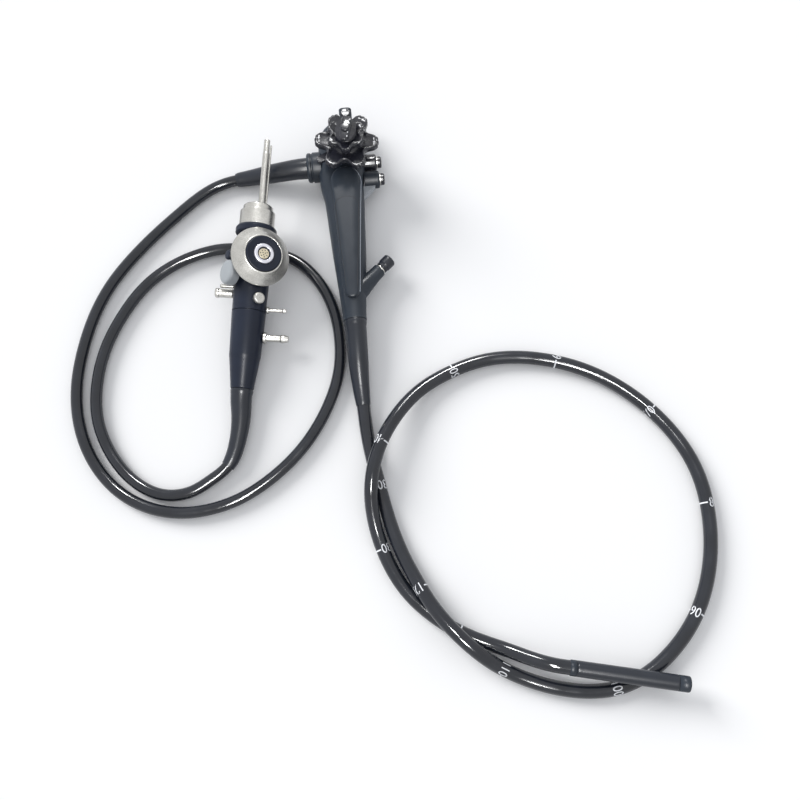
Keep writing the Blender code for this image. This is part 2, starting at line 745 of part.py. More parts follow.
def valve(prefix, y, reach):
    """Sleeve, sliding button and spring of one valve. Heights run from the seat outwards."""
    seat = VALVE_SEAT_X + SEAT
    length = reach - seat
    floor = 1.4
    place = along_x(seat, y, VALVE_Z)
    add_object(prefix + "_cylinder", turned((
        (VALVE_R, 0.0), (VALVE_R, length - 1.2), (VALVE_R - 1.0, length), (VALVE_BORE_R, length),
        (VALVE_BORE_R, floor), (0.0, floor),
    ), 24), STEEL if prefix == "air_water" else HEAD_PLASTIC, place)
    cap_low = length - 2.0
    cap_top = length + VALVE_CAP_PROUD
    stem_low = floor + VALVE_STROKE + RUN
    add_object(prefix + "_button", turned((
        (VALVE_STEM_R, stem_low), (VALVE_STEM_R, cap_low), (VALVE_CAP_R, cap_low),
        (VALVE_CAP_R, cap_top - 1.4), (VALVE_CAP_R - 0.5, cap_top - 0.4),
        (VALVE_CAP_R - 1.6, cap_top), (0.0, cap_top),
    ), 24), KNOB_PLASTIC, place)
    coil_r = 0.5 * (VALVE_STEM_R + VALVE_BORE_R)
    spring(prefix + "_spring", coil_r, 0.4, floor + SEAT, cap_low - SEAT, 4, place)


def make_valves():
    valve("air_water", AIR_WATER_Y, AIR_WATER_REACH)
    valve("suction", SUCTION_Y, SUCTION_REACH)


# Remote switches: round keys that slide in shallow pockets

def side_switch_seat(y):
    """Floor of a side switch's pocket, below the side of the head at one y."""
    centre, half = head_half_width(y)
    return centre + half - SWITCH_DEPTH


def switch_pocket(radius):
    return turned(((radius + RUN, 0.0), (radius + RUN, CUT_L)), 16)


def switch_key(name, radius, mat, place):
    """A key above its pocket's floor."""
    top = SWITCH_DEPTH + SWITCH_PROUD
    shape = ((radius, SWITCH_TRAVEL + RUN), (radius, top - 0.9), (radius - 0.9, top))
    add_object(name, turned(shape, 16), mat, place)


def make_switches():
    rings = []
    for y, drop in ((HEAD_TOP_Y + SEAT, 0.0), (PANEL_TOP_Y - 2.0, 0.0), (PANEL_TOP_Y - 0.6, 0.6),
                    (PANEL_TOP_Y, 1.8)):
        rings.append(rounded_section(PANEL_X, PANEL_HALF - drop, PANEL_LOW_Z + drop,
                                     PANEL_HIGH_Z - drop, 3.2, y, 5))
    panel = add_object("switch_panel", skin(rings), HEAD_PLASTIC)
    floor = at(PANEL_X, PANEL_SWITCH_Y, PANEL_HIGH_Z - SWITCH_DEPTH)
    boolean(panel, cutter("switch_1_pocket_tool", switch_pocket(PANEL_SWITCH_R), floor), "DIFFERENCE")
    switch_key("switch_1", PANEL_SWITCH_R, LIGHT_CAP, floor)
    for name, y in SIDE_SWITCHES:
        switch_key(name, SWITCH_R, KNOB_PLASTIC, along_x(side_switch_seat(y), y, VALVE_Z))


# Biopsy port: a steel mouthpiece on the branch, under a rubber valve cap

def make_biopsy_port():
    place = port_matrix()
    spigot = 3.3
    add_object("biopsy_inlet", turned((
        (PORT_R - 1.5, SEAT), (PORT_R - 1.5, 1.6), (spigot, 1.6), (spigot, 8.0), (1.6, 8.0), (1.6, 3.0),
        (0.0, 3.0),
    ), 16), STEEL, place)
    low = 1.6 + SEAT
    add_object("biopsy_cap", turned((
        (0.0, PORT_CAP_L), (PORT_CAP_R - 0.4, PORT_CAP_L), (PORT_CAP_R + 0.6, PORT_CAP_L - 1.2),
        (PORT_CAP_R + 0.5, 6.0), (PORT_CAP_R - 0.2, 5.0), (PORT_CAP_R - 0.2, low),
        (spigot + SEAT, low), (spigot + SEAT, 8.0 + SEAT), (0.0, 8.0 + SEAT),
    ), 20), SOFT_RUBBER, place)


# Strain reliefs of the head

# Each boot's points lead into its cord's, so that one smooth curve carries both.
INSERTION_BOOT_ROUTE = (
    (GRIP_END_X, GRIP_END_Y - SEAT, GRIP_END_Z), (GRIP_END_X, GRIP_END_Y - 5.0, GRIP_END_Z),
    (-8.0, -192.0, 16.9), (-8.3, -214.0, 13.2), (-8.2, -234.0, 9.0), (-7.6, -250.7, 7.1),
)
CORD_BOOT_START = COLLAR_SEAT_X - SEAT - COLLAR_L - SEAT
CORD_BOOT_ROUTE = (
    (CORD_BOOT_START, COLLAR_Y, COLLAR_Z), (CORD_BOOT_START - 5.0, COLLAR_Y, COLLAR_Z),
    (-62.0, -5.4, 17.2), (-80.0, -4.9, 13.2), (-98.0, -4.6, 9.2), (-113.7, -5.0, 7.3),
)


def insertion_route():
    """Points from the grip to the first joint of the bending section."""
    heading = math.radians(BEND_HEADING)
    lead = []
    for distance in (-BASE_RING_L, 0.0):
        lead.append((BEND_BASE[0] + distance * math.cos(heading),
                     BEND_BASE[1] + distance * math.sin(heading), BEND_BASE[2]))
    return (*INSERTION_BOOT_ROUTE, *INSERTION_ROUTE, *lead)


def connector_boot_route(frame):
    """Points of the connector's boot, from its tail out to the cord."""
    straight = [frame.matrix_world @ (Vector((0.0, TAIL_BACK - out, 0.0)) * MM) / MM
                for out in (SEAT, 4.0, 8.0)]
    return (*[tuple(p) for p in straight], *CONNECTOR_BOOT_REST)


def universal_route(frame):
    """Points from the head's collar to the connector's tail."""
    return (*CORD_BOOT_ROUTE, *UNIVERSAL_ROUTE, *connector_boot_route(frame)[::-1])


def make_boots():
    boot("insertion_boot", insertion_route(), len(INSERTION_BOOT_ROUTE) - 1, (
        (0.0, GRIP_END_R), (0.045, GRIP_END_R), (0.06, GRIP_END_R - 0.7), (0.5, 9.4),
        (0.85, 7.7), (0.98, BOOT_END_R), (1.0, BOOT_END_R - 0.3),
    ), SOFT_RUBBER)
    seat = along_x(COLLAR_SEAT_X - SEAT - COLLAR_L, COLLAR_Y, COLLAR_Z)
    add_object("cord_collar", turned((
        (12.4, 0.0), (13.6, 0.5), (14.4, 1.8), (14.4, 3.8), (13.9, 4.2), (13.9, 5.6),
        (COLLAR_R, 6.2), (COLLAR_R, COLLAR_L),
    ), 28), HEAD_PLASTIC, seat)
    boot("cord_boot", (*CORD_BOOT_ROUTE, *UNIVERSAL_ROUTE), len(CORD_BOOT_ROUTE) - 1, (
        (0.0, CORD_BOOT_R), (0.5, 9.3), (0.9, CORD_BOOT_END_R + 0.3), (0.97, CORD_BOOT_END_R),
        (1.0, CORD_BOOT_END_R - 0.4),
    ), SOFT_RUBBER)


# Insertion tube: from its boot, under itself, round the big loop and over its own start, to the
# base ring of the bending section. It rests on the table at its own radius, and each crossing is a
# long low hump.

FLOOR = 0.5 * TUBE_D
INSERTION_ROUTE = (
    (-7.0, -268.0, 6.6), (-5.5, -288.0, FLOOR), (-0.5, -322.0, FLOOR),
    (6.0, -358.0, FLOOR), (16.0, -393.0, 8.0), (26.0, -417.0, 13.0), (37.0, -439.0, 18.4),
    (49.5, -457.0, 20.0), (63.5, -473.0, 18.4), (77.5, -486.0, 13.8), (93.0, -497.0, 8.4),
    (114.0, -508.0, FLOOR), (139.0, -517.0, FLOOR), (191.0, -520.5, FLOOR), (243.0, -493.0, FLOOR),
    (267.0, -466.0, FLOOR), (285.0, -429.0, FLOOR), (293.5, -385.0, FLOOR), (289.5, -338.0, FLOOR),
    (276.0, -306.0, FLOOR), (256.0, -278.0, FLOOR), (203.0, -236.0, FLOOR), (173.0, -224.0, FLOOR),
    (110.0, -217.5, FLOOR), (77.0, -226.0, 6.6), (46.0, -242.0, 9.2), (22.0, -265.0, 14.2),
    (5.5, -290.0, 18.8), (-4.0, -314.0, 19.4), (-8.0, -338.0, 15.0), (-6.5, -364.0, 8.4),
    (-1.2, -387.0, FLOOR), (19.5, -428.0, FLOOR), (35.0, -444.5, FLOOR), (55.0, -460.0, FLOOR),
    (75.0, -471.0, FLOOR), (95.0, -480.0, 8.6), (116.0, -489.9, 15.4),
    (136.1, -497.33, BEND_BASE[2]),
)

# Universal cord: from the head's boot, round the left loop, under the connector and back to it
CORD_FLOOR = 0.5 * CORD_D
UNIVERSAL_ROUTE = (
    (-133.0, -9.0, 6.0), (-152.0, -19.0, CORD_FLOOR),
    (-172.0, -34.5, CORD_FLOOR), (-197.0, -56.0, CORD_FLOOR), (-221.0, -80.0, CORD_FLOOR),
    (-241.0, -105.0, CORD_FLOOR), (-257.5, -136.0, CORD_FLOOR), (-268.0, -168.0, CORD_FLOOR),
    (-274.0, -202.0, CORD_FLOOR), (-272.0, -242.0, CORD_FLOOR), (-258.0, -281.0, CORD_FLOOR),
    (-234.0, -311.0, CORD_FLOOR), (-208.0, -327.0, CORD_FLOOR), (-180.0, -334.0, CORD_FLOOR),
    (-152.0, -333.0, CORD_FLOOR), (-126.0, -326.0, CORD_FLOOR), (-98.0, -311.0, CORD_FLOOR),
    (-69.0, -287.0, CORD_FLOOR), (-42.0, -250.0, CORD_FLOOR), (-28.0, -215.0, CORD_FLOOR),
    (-24.5, -183.0, CORD_FLOOR), (-29.0, -148.0, CORD_FLOOR), (-43.0, -117.0, CORD_FLOOR),
    (-66.0, -94.0, CORD_FLOOR), (-95.0, -84.0, CORD_FLOOR), (-125.0, -78.0, CORD_FLOOR),
    (-154.0, -81.0, CORD_FLOOR), (-181.0, -91.0, CORD_FLOOR), (-207.0, -109.0, CORD_FLOOR),
    (-229.0, -136.0, CORD_FLOOR), (-246.0, -168.0, CORD_FLOOR), (-255.0, -203.0, CORD_FLOOR),
    (-255.0, -238.0, CORD_FLOOR), (-243.0, -273.0, CORD_FLOOR), (-222.0, -301.0, CORD_FLOOR),
    (-196.0, -316.0, CORD_FLOOR), (-170.0, -315.5, 5.5), (-151.5, -306.5, 6.2),
)
CONNECTOR_BOOT_REST = ((-121.0, -246.4, 9.4), (-126.0, -273.8, 8.0), (-136.3, -295.6, 7.1))


def make_cords(frame):
    route = insertion_route()
    cord("insertion_tube", route, len(INSERTION_BOOT_ROUTE) - 1, len(route) - 2, TUBE_D, TUBE_SKIN)
    route = universal_route(frame)
    far_end = len(route) - len(connector_boot_route(frame))
    cord("universal_cord", route, len(CORD_BOOT_ROUTE) - 1, far_end, CORD_D, TUBE_SKIN)


# Bending section: riveted rings under a rubber sleeve. In its own frame x runs forward to the tip,
# y to the left and z up. Odd joints turn about z, up and down, and even ones about y, left and right.

BEVEL = math.tan(math.radians(0.5 * BEND_PER_JOINT + 1.5))
LINK_IN_R = LINK_R - LINK_WALL
LUG_NOTCH_R = LUG_R + RUN


def bend_matrix(distance):
    """Frame at a distance along the straight bending section."""
    return at(*BEND_BASE) @ Matrix.Rotation(math.radians(BEND_HEADING), 4, "Z") @ at(distance, 0.0, 0.0)


def lug_edge(across, sign, end, lug):
    """Edge of a link along x: at end, lug or notch round the pivot, or the bevel that lets it bend.
    sign is +1 at a front end. A lug reaches past the pivot, and anything else stops short of it."""
    bevel = RUN + abs(across) * LINK_R / (LINK_R - 0.5 * LINK_WALL) * BEVEL
    if lug and abs(across) < LUG_R:
        return end + sign * math.sqrt(LUG_R ** 2 - across ** 2)
    notch = math.sqrt(max(LUG_NOTCH_R ** 2 - across ** 2, 0.0))
    return end - sign * max(bevel, notch)


def link_section(angle, rear_axis, front_axis, rear_x, front_x):
    """Eight points of a link's wall at one angle round x, with inner lugs behind and outer in front.
    A plain end is asked for with None as its axis."""
    mid = LINK_R - 0.5 * LINK_WALL
    outer_step = LINK_R - LUG_OUT_T
    inner_step = LINK_IN_R + LUG_IN_T

    def across(axis):
        swing = angle - (0.5 * math.pi if axis == "z" else 0.0)
        swing = (swing + 0.5 * math.pi) % math.pi - 0.5 * math.pi
        return mid * math.sin(swing)

    if rear_axis is None:
        rear_out = rear_in = rear_x
    else:
        rear_out = lug_edge(across(rear_axis), -1.0, rear_x, False)
        rear_in = lug_edge(across(rear_axis), -1.0, rear_x, True)
    if front_axis is None:
        front_out = front_in = front_x
    else:
        front_out = lug_edge(across(front_axis), 1.0, front_x, True)
        front_in = lug_edge(across(front_axis), 1.0, front_x, False)
    profile = (
        (rear_out, LINK_R), (front_out, LINK_R), (front_out, outer_step), (front_in, outer_step),
        (front_in, LINK_IN_R), (rear_in, LINK_IN_R), (rear_in, inner_step), (rear_out, inner_step),
    )
    c = math.cos(angle)
    s = math.sin(angle)
    return [(x, r * c, r * s) for x, r in profile]


def pivot_tools(name, axis, x, radius, low, high, matrix):
    """Two small radial cylinders on a pivot axis, one on each side of the link."""
    tools = []
    for side, sign in (("a", 1.0), ("b", -1.0)):
        quarter = -90.0 if axis == "y" else 0.0
        turn = Matrix.Rotation(math.radians(quarter), 4, "X")
        if sign < 0.0:
            turn = Matrix.Rotation(math.pi, 4, "X") @ turn
        shape = turned(((radius, low), (radius, high)), 6)
        tools.append(cutter(name + "_" + side, shape, matrix @ at(x, 0.0, 0.0) @ turn))
    return tools


def link(name, mat, matrix, rear_axis, front_axis, rear_x, front_x):
    """One ring of the chain with its lugs, holes in the rear lugs and rivets on the front ones.
    The sections stand closer together where a lug rounds its pivot."""
    lug_edge_angle = math.degrees(math.asin(LUG_R / (LINK_R - 0.5 * LINK_WALL))) + 0.2
    steps = (0.0, 0.5 * lug_edge_angle, lug_edge_angle, 45.0, 90.0 - lug_edge_angle,
             90.0 - 0.5 * lug_edge_angle)
    rings = []
    for quarter in range(4):
        for step in steps:
            angle = math.radians(90.0 * quarter + step)
            rings.append(link_section(angle, rear_axis, front_axis, rear_x, front_x))
    obj = add_object(name, skin(rings, loop=True), mat, matrix)
    if rear_axis is not None:
        for tool in pivot_tools(name + "_hole", rear_axis, rear_x, RIVET_R + RUN, LINK_IN_R - 1.0,
                                LINK_IN_R + LUG_IN_T + 0.1, matrix):
            boolean(obj, tool, "DIFFERENCE")
    if front_axis is not None:
        for tool in pivot_tools(name + "_rivet", front_axis, front_x, RIVET_R, LINK_IN_R - 0.2,
                                LINK_R + 0.2, matrix):
            boolean(obj, tool, "UNION")
    return obj


def make_bending_section():
    axes = ("z", "y")
    base = link("bending_base_ring", STEEL, bend_matrix(0.0), None, "z", -BASE_NECK_L - 2.0, 0.0)
    collar = cutter("base_collar_tool", turned((
        (0.6 * LINK_R, -BASE_RING_L), (COVER_R - 0.5, -BASE_RING_L), (COVER_R, -BASE_RING_L + 0.7),
        (COVER_R, -BASE_NECK_L - SEAT), (0.6 * LINK_R, -BASE_NECK_L - SEAT),
    ), 24, loop=True), bend_matrix(0.0) @ Matrix.Rotation(math.radians(90.0), 4, "Y"))
    boolean(base, collar, "UNION")
    for i in range(LINKS):
        link("bending_link_%d" % (i + 1), STEEL, bend_matrix(i * PITCH), axes[i % 2],
             axes[(i + 1) % 2], 0.0, PITCH)

    tip_place = bend_matrix(LINKS * PITCH)
    lay = tip_place @ Matrix.Rotation(math.radians(90.0), 4, "Y")
    tip = link("distal_tip", HEAD_PLASTIC, tip_place, axes[LINKS % 2], None, 0.0, TIP_NECK_L + 2.0)
    head = cutter("tip_head_tool", turned((
        (COVER_R, TIP_NECK_L + SEAT), (COVER_R, TIP_L - 1.0), (COVER_R - 0.3, TIP_L - 0.3),
        (COVER_R - 1.0, TIP_L), (0.0, TIP_L), (0.0, TIP_NECK_L + SEAT),
    ), 24), lay)
    boolean(tip, head, "UNION")
    for name, y, z, radius, depth in TIP_SEATS:
        place = tip_place @ at(TIP_L - depth, y, z) @ Matrix.Rotation(math.radians(90.0), 4, "Y")
        pocket = turned(((radius + SEAT, 0.0), (radius + SEAT, 12.0)), 12)
        boolean(tip, cutter(name + "_seat_tool", pocket, place), "DIFFERENCE")
        if name == "working_channel":
            continue
        proud = 0.9 if name == "water_nozzle" else 0.0
        piece = turned(((radius, SEAT), (radius, depth + proud - 0.2), (radius - 0.3, depth + proud)), 12)
        add_object(name, piece, STEEL if name == "water_nozzle" else LENS, place)

    sleeve = turned((
        (COVER_R, -BASE_NECK_L), (COVER_R, LINKS * PITCH + TIP_NECK_L),
        (COVER_R - COVER_WALL, LINKS * PITCH + TIP_NECK_L), (COVER_R - COVER_WALL, -BASE_NECK_L),
    ), 24, loop=True)
    add_object("bending_rubber", sleeve, SOFT_RUBBER,
               bend_matrix(0.0) @ Matrix.Rotation(math.radians(90.0), 4, "Y"))


# Face of the tip: name, place to the left and up, radius and depth of each seat
TIP_SEATS = (
    ("objective_lens", 0.9, 2.4, 1.7, 2.5),
    ("light_lens_a", 4.1, -0.6, 1.1, 2.5),
    ("light_lens_b", -3.2, 2.9, 1.1, 2.5),
    ("water_nozzle", -3.9, -0.6, 0.8, 2.5),
    ("working_channel", 0.4, -3.0, 1.7, 8.0),
)


# Light guide connector: built straight in its own frame, which one empty tilts and rolls

def make_connector_frame():
    azimuth = math.radians(CONNECTOR_AZIMUTH)
    turn = Matrix.Rotation(-azimuth, 4, "Z") @ Matrix.Rotation(math.radians(CONNECTOR_PITCH), 4, "X")
    turn = turn @ Matrix.Rotation(math.radians(CONNECTOR_ROLL), 4, "Y")
    frame = bpy.data.objects.new("connector_frame", None)
    bpy.context.scene.collection.objects.link(frame)
    frame.matrix_world = at(*CONNECTOR_AT) @ turn
    return frame


def connector_turned(name, profile, mat, frame, matrix, count=28, loop=False):
    return add_object(name, turned(profile, count, loop), mat, matrix, frame)


def make_connector(frame):
    body = connector_turned("connector_body", (
        (TAIL_R + 1.4, BODY_BACK), (BODY_R - 0.5, BODY_BACK + 3.0), (BODY_R, BODY_BACK + 26.0),
        (BODY_R, BODY_FRONT - 3.0), (BODY_R - 0.8, BODY_FRONT),
    ), HEAD_PLASTIC, frame, along_y(0.0, 0.0, 0.0), 32)
    lug = turned(((CAP_LUG_R, -3.0), (CAP_LUG_R, CAP_LUG_H - 1.5), (CAP_LUG_R - 1.0, CAP_LUG_H)), 20)
    boolean(body, cutter("cap_lug_tool", lug, port_place(CAP_LUG_Y, SIDE_CAP_ANGLE, BODY_R), frame), "UNION")
    seat = turned(((VIDEO_NECK_R + SEAT, 0.0), (VIDEO_NECK_R + SEAT, CUT_L)), 28)
    boolean(body, cutter("video_seat_tool", seat, at(0.0, VIDEO_Y, VIDEO_SEAT_Z), frame), "DIFFERENCE")

    connector_turned("connector_tail", (
        (TAIL_END_R - 0.8, TAIL_BACK), (TAIL_END_R, TAIL_BACK + 0.8), (TAIL_END_R + 0.6, TAIL_BACK + 4.0),
        (TAIL_R - 0.5, TAIL_CONE), (TAIL_R, TAIL_CONE + 3.0), (TAIL_R + 1.4, BODY_BACK - SEAT),
    ), HEAD_PLASTIC, frame, along_y(0.0, 0.0, 0.0), 32)

    start = BODY_FRONT + SEAT
    connector_turned("front_flange", (
        (FLANGE_R - 1.0, start), (FLANGE_R, start + 1.2), (FLANGE_R, start + FLANGE_T - 2.0),
        (FLANGE_R - 1.4, start + FLANGE_T),
    ), HEAD_PLASTIC, frame, along_y(0.0, 0.0, 0.0), 32)
    start += FLANGE_T + SEAT
    neck = start + GUIDE_COLLAR_T
    end = neck + GUIDE_NECK_T
    connector_turned("light_guide_collar", (
        (GUIDE_COLLAR_R, start), (GUIDE_COLLAR_R, neck - 1.0), (GUIDE_COLLAR_R - 0.8, neck),
        (GUIDE_NECK_R, neck), (GUIDE_NECK_R, end - 1.6), (GUIDE_NECK_R - 1.6, end),
    ), STEEL, frame, along_y(0.0, 0.0, 0.0), 32)
    rod = end + SEAT
    connector_turned("light_guide_rod", (
        (ROD_R, rod), (ROD_R, rod + ROD_L - 14.0), (ROD_R - 0.35, rod + ROD_L - 13.0),
        (ROD_R - 0.35, rod + ROD_L),
    ), STEEL, frame, along_y(ROD_X, 0.0, 0.0), 16)
    connector_turned("air_pipe", (
        (PIPE_R, rod), (PIPE_R, rod + PIPE_L - 0.6), (PIPE_R - 0.4, rod + PIPE_L),
    ), STEEL, frame, along_y(ROD_X + ROD_R + SEAT + PIPE_R, 0.0, -0.6), 12)

    upright = at(0.0, VIDEO_Y, 0.0)
    floor = VIDEO_TOP_Z - 4.0
    connector_turned("video_housing", (
        (VIDEO_NECK_R, VIDEO_SEAT_Z + SEAT), (VIDEO_NECK_R, VIDEO_FLANGE_Z), (VIDEO_R - 1.0, VIDEO_FLANGE_Z),
        (VIDEO_R, VIDEO_FLANGE_Z + 0.9), (VIDEO_R, VIDEO_FLANGE_Z + 2.2),
        (VIDEO_R - 1.6, VIDEO_FLANGE_Z + 4.0), (VIDEO_R - 5.4, VIDEO_TOP_Z - 4.2),
        (INSULATOR_R + 1.9, VIDEO_TOP_Z - 0.5), (INSULATOR_R + 1.3, VIDEO_TOP_Z),
        (INSULATOR_R + SEAT, VIDEO_TOP_Z), (INSULATOR_R + SEAT, floor), (0.0, floor),
    ), STEEL, frame, upright, 32)
    seat_z = floor + SEAT
    connector_turned("video_insulator", (
        (VIDEO_RING_R + SEAT, seat_z), (INSULATOR_R, seat_z), (INSULATOR_R, VIDEO_TOP_Z + 0.6),
        (INSULATOR_R - 0.8, VIDEO_TOP_Z + 1.2), (VIDEO_RING_R + SEAT, VIDEO_TOP_Z + 0.2),
    ), HEAD_PLASTIC, frame, upright, 28, loop=True)
    connector_turned("video_ring", (
        (PIN_BLOCK_R + SEAT, seat_z), (VIDEO_RING_R, seat_z), (VIDEO_RING_R, VIDEO_TOP_Z + 1.4),
        (VIDEO_RING_R - 0.8, VIDEO_TOP_Z + 2.0), (PIN_BLOCK_R + SEAT, VIDEO_TOP_Z + 2.0),
    ), STEEL, frame, upright, 28, loop=True)
    connector_turned("pin_block", (
        (PIN_BLOCK_R, seat_z), (PIN_BLOCK_R, VIDEO_TOP_Z + 0.3), (PIN_BLOCK_R - 0.4, VIDEO_TOP_Z + 0.7),
    ), GOLD, frame, upright, 20)


# Ports on the connector: name, place along the axis, angle up from the right, profile and material

def port_place(y, angle, radius):
    """Matrix on the connector's side: z points out, angle is measured from the right upwards."""
    a = math.radians(angle)
    out = Vector((math.cos(a), 0.0, math.sin(a)))
    forward = Vector((0.0, 1.0, 0.0))
    side = forward.cross(out)
    turn = Matrix((side, forward, out)).transposed().to_4x4()
    return at(out.x * radius, y, out.z * radius) @ turn


def make_connector_ports(frame):
    ports = (
        ("side_cap", SIDE_CAP_Y, SIDE_CAP_ANGLE, BODY_R + 0.4, (
            (6.0, 0.0), (6.0, 2.0), (11.6, 2.6), (11.6, 10.0), (10.8, 11.4), (8.8, 12.2)), LIGHT_CAP, 32),
        ("suction_nipple", SUCTION_NIPPLE_Y, 180.0 + CONNECTOR_ROLL, BODY_R + 0.4, (
            (4.2, 0.0), (4.2, 12.6), (4.7, 13.4), (4.7, 15.4), (4.0, SUCTION_NIPPLE_L)), STEEL, 20),
        ("side_pipe", -48.9, 180.0 + CONNECTOR_ROLL, BODY_R + 0.4, (
            (1.9, 0.0), (1.9, 12.0), (1.3, 12.8)), STEEL, 14),
        ("vent_knob", -63.0, 56.0 + CONNECTOR_ROLL, BODY_R + 0.4, (
            (4.4, 0.0), (4.4, 1.2), (5.4, 1.8), (5.4, 5.0), (4.4, 6.2)), STEEL, 20),
        ("air_nipple", -70.0, CONNECTOR_ROLL, BODY_R + 0.4, (
            (3.4, 0.0), (3.4, 2.0), (1.7, 2.6), (1.7, 15.0), (2.2, 15.8), (1.6, 18.5)), STEEL, 14),
        ("water_nipple", -97.0, CONNECTOR_ROLL, TAIL_R + 1.2, (
            (5.6, 0.0), (5.6, 2.6), (3.4, 3.2), (3.4, 16.0), (4.0, 17.0), (4.0, 19.0), (2.8, 23.5)),
         STEEL, 18),
    )
    for name, y, angle, radius, profile, mat, count in ports:
        add_object(name, turned(profile, count), mat, port_place(y, angle, radius), frame)


def make_connector_boot(frame):
    route = (*connector_boot_route(frame), *UNIVERSAL_ROUTE[::-1])
    boot("connector_boot", route, len(connector_boot_route(frame)) - 1, (
        (0.0, CONNECTOR_BOOT_R), (0.5, 7.7), (0.92, CONNECTOR_BOOT_END_R), (1.0, CONNECTOR_BOOT_END_R - 0.3),
    ), SOFT_RUBBER)


make_back_cover()
make_chassis()
make_grip_housing()
make_grip_cover()
make_drums()
make_knobs()
make_locks()
make_valves()
make_switches()
make_biopsy_port()
make_boots()
make_bending_section()
connector_frame = make_connector_frame()
bpy.context.view_layer.update()
make_cords(connector_frame)
make_connector(connector_frame)
make_connector_ports(connector_frame)
make_connector_boot(connector_frame)
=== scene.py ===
# Flexible endoscope, a colonoscope, lying on a white table and seen from above.
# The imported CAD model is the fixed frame, and every visible piece here stands on it.
import math

import bmesh
import bpy
import numpy as np
from mathutils import Matrix, Vector


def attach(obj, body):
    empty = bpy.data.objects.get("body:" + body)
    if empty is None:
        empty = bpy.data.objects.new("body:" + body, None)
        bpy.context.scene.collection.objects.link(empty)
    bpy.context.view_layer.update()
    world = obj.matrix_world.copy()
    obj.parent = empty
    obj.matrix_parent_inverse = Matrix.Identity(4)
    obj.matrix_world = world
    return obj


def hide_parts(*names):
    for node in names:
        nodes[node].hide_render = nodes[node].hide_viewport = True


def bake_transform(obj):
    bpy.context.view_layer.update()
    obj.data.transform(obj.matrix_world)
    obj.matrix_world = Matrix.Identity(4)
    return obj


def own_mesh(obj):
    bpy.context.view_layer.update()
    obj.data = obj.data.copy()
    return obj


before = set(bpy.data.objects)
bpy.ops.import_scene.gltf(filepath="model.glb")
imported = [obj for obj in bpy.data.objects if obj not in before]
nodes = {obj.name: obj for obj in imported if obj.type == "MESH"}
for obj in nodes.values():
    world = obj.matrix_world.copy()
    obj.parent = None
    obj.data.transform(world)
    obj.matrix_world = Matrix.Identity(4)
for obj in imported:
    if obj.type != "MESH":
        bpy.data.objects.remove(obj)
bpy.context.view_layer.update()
MM = 0.001


def add_object(name, data):
    """New object in the scene."""
    made = bpy.data.objects.new(name, data)
    bpy.context.scene.collection.objects.link(made)
    return made


# Camera
# The photograph looks down at the table, tilted 15 degrees from the vertical, from about 0.8 m.
camera = add_object("camera", bpy.data.cameras.new("camera"))
camera.location = (0.00633, -0.45655, 0.77372)
camera.rotation_euler = (math.radians(15.24), 0.0, math.radians(-5.65))
camera.data.sensor_width = 36.0
camera.data.lens = 38.25
bpy.context.scene.camera = camera
bpy.context.scene.view_settings.view_transform = "Standard"


# Table and light
# A white table top, matt, in a white room. A hazy sun from the upper left gives the soft shadows,
# and three ceiling lamps, seen in reflections alone, give the thin bright lines along the tubes.
GRAIN_DEPTH = 0.0002


def colour(code):
    """Linear colour from an sRGB hex value such as 3a4048."""
    part = np.array([int(code[i:i + 2], 16) / 255.0 for i in (0, 2, 4)])
    linear = np.where(part <= 0.04045, part / 12.92, ((part + 0.055) / 1.055) ** 2.4)
    return (*linear.tolist(), 1.0)


def add_node(tree, kind, inputs=None, **settings):
    """Add one shader node. inputs gives a socket a value, or links it to (node, output)."""
    node = tree.nodes.new(kind)
    for key, value in settings.items():
        setattr(node, key, value)
    for socket, value in (inputs or {}).items():
        if isinstance(value, tuple) and isinstance(value[0], bpy.types.Node):
            tree.links.new(value[0].outputs[value[1]], node.inputs[socket])
        else:
            node.inputs[socket].default_value = value
    return node


def new_material(name, code, roughness, metallic=0.0, specular=0.5, coat=0.0,
                 grain=None, patch=None, gloss=None):
    """Material with one Principled shader. Three options put a noise on it, each given by the
    noise's scale and detail first: grain is a bump of a strength, patch mixes two colours, and
    gloss takes the noise between two values to a range of roughness."""
    made = bpy.data.materials.new(name)
    made.use_nodes = True
    tree = made.node_tree
    shader = tree.nodes["Principled BSDF"]
    for socket, value in (("Base Color", colour(code)), ("Roughness", roughness), ("Metallic", metallic),
                          ("Specular IOR Level", specular), ("Coat Weight", coat)):
        shader.inputs[socket].default_value = value

    def noise(scale, detail):
        where = add_node(tree, "ShaderNodeTexCoord")
        return add_node(tree, "ShaderNodeTexNoise",
                        {"Vector": (where, "Object"), "Scale": scale, "Detail": detail}), 0

    if grain:
        bump = add_node(tree, "ShaderNodeBump",
                        {"Height": noise(*grain[:2]), "Strength": grain[2], "Distance": GRAIN_DEPTH})
        tree.links.new(bump.outputs[0], shader.inputs["Normal"])
    if patch:
        shade = add_node(tree, "ShaderNodeMix",
                         {0: noise(*patch[:2]), 6: colour(patch[2]), 7: colour(patch[3])}, data_type="RGBA")
        tree.links.new(shade.outputs[2], shader.inputs["Base Color"])
    if gloss:
        low, high, smoothest, roughest = gloss[2:]
        tone = add_node(tree, "ShaderNodeMapRange",
                        {0: noise(*gloss[:2]), 1: low, 2: high, 3: smoothest, 4: roughest})
        tree.links.new(tone.outputs[0], shader.inputs["Roughness"])
    return made


TABLE_Z = -0.0002
TABLE_HALF = 4.0
table_mesh = bpy.data.meshes.new("table_top")
corners = ((-1.0, -1.0), (1.0, -1.0), (1.0, 1.0), (-1.0, 1.0))
table_mesh.from_pydata([(x * TABLE_HALF, y * TABLE_HALF, TABLE_Z) for x, y in corners], [], [(0, 1, 2, 3)])
table_mesh.materials.append(new_material("white_table_laminate", "fbfbfb", 0.75, specular=0.2))
table_top = add_object("table_top", table_mesh)

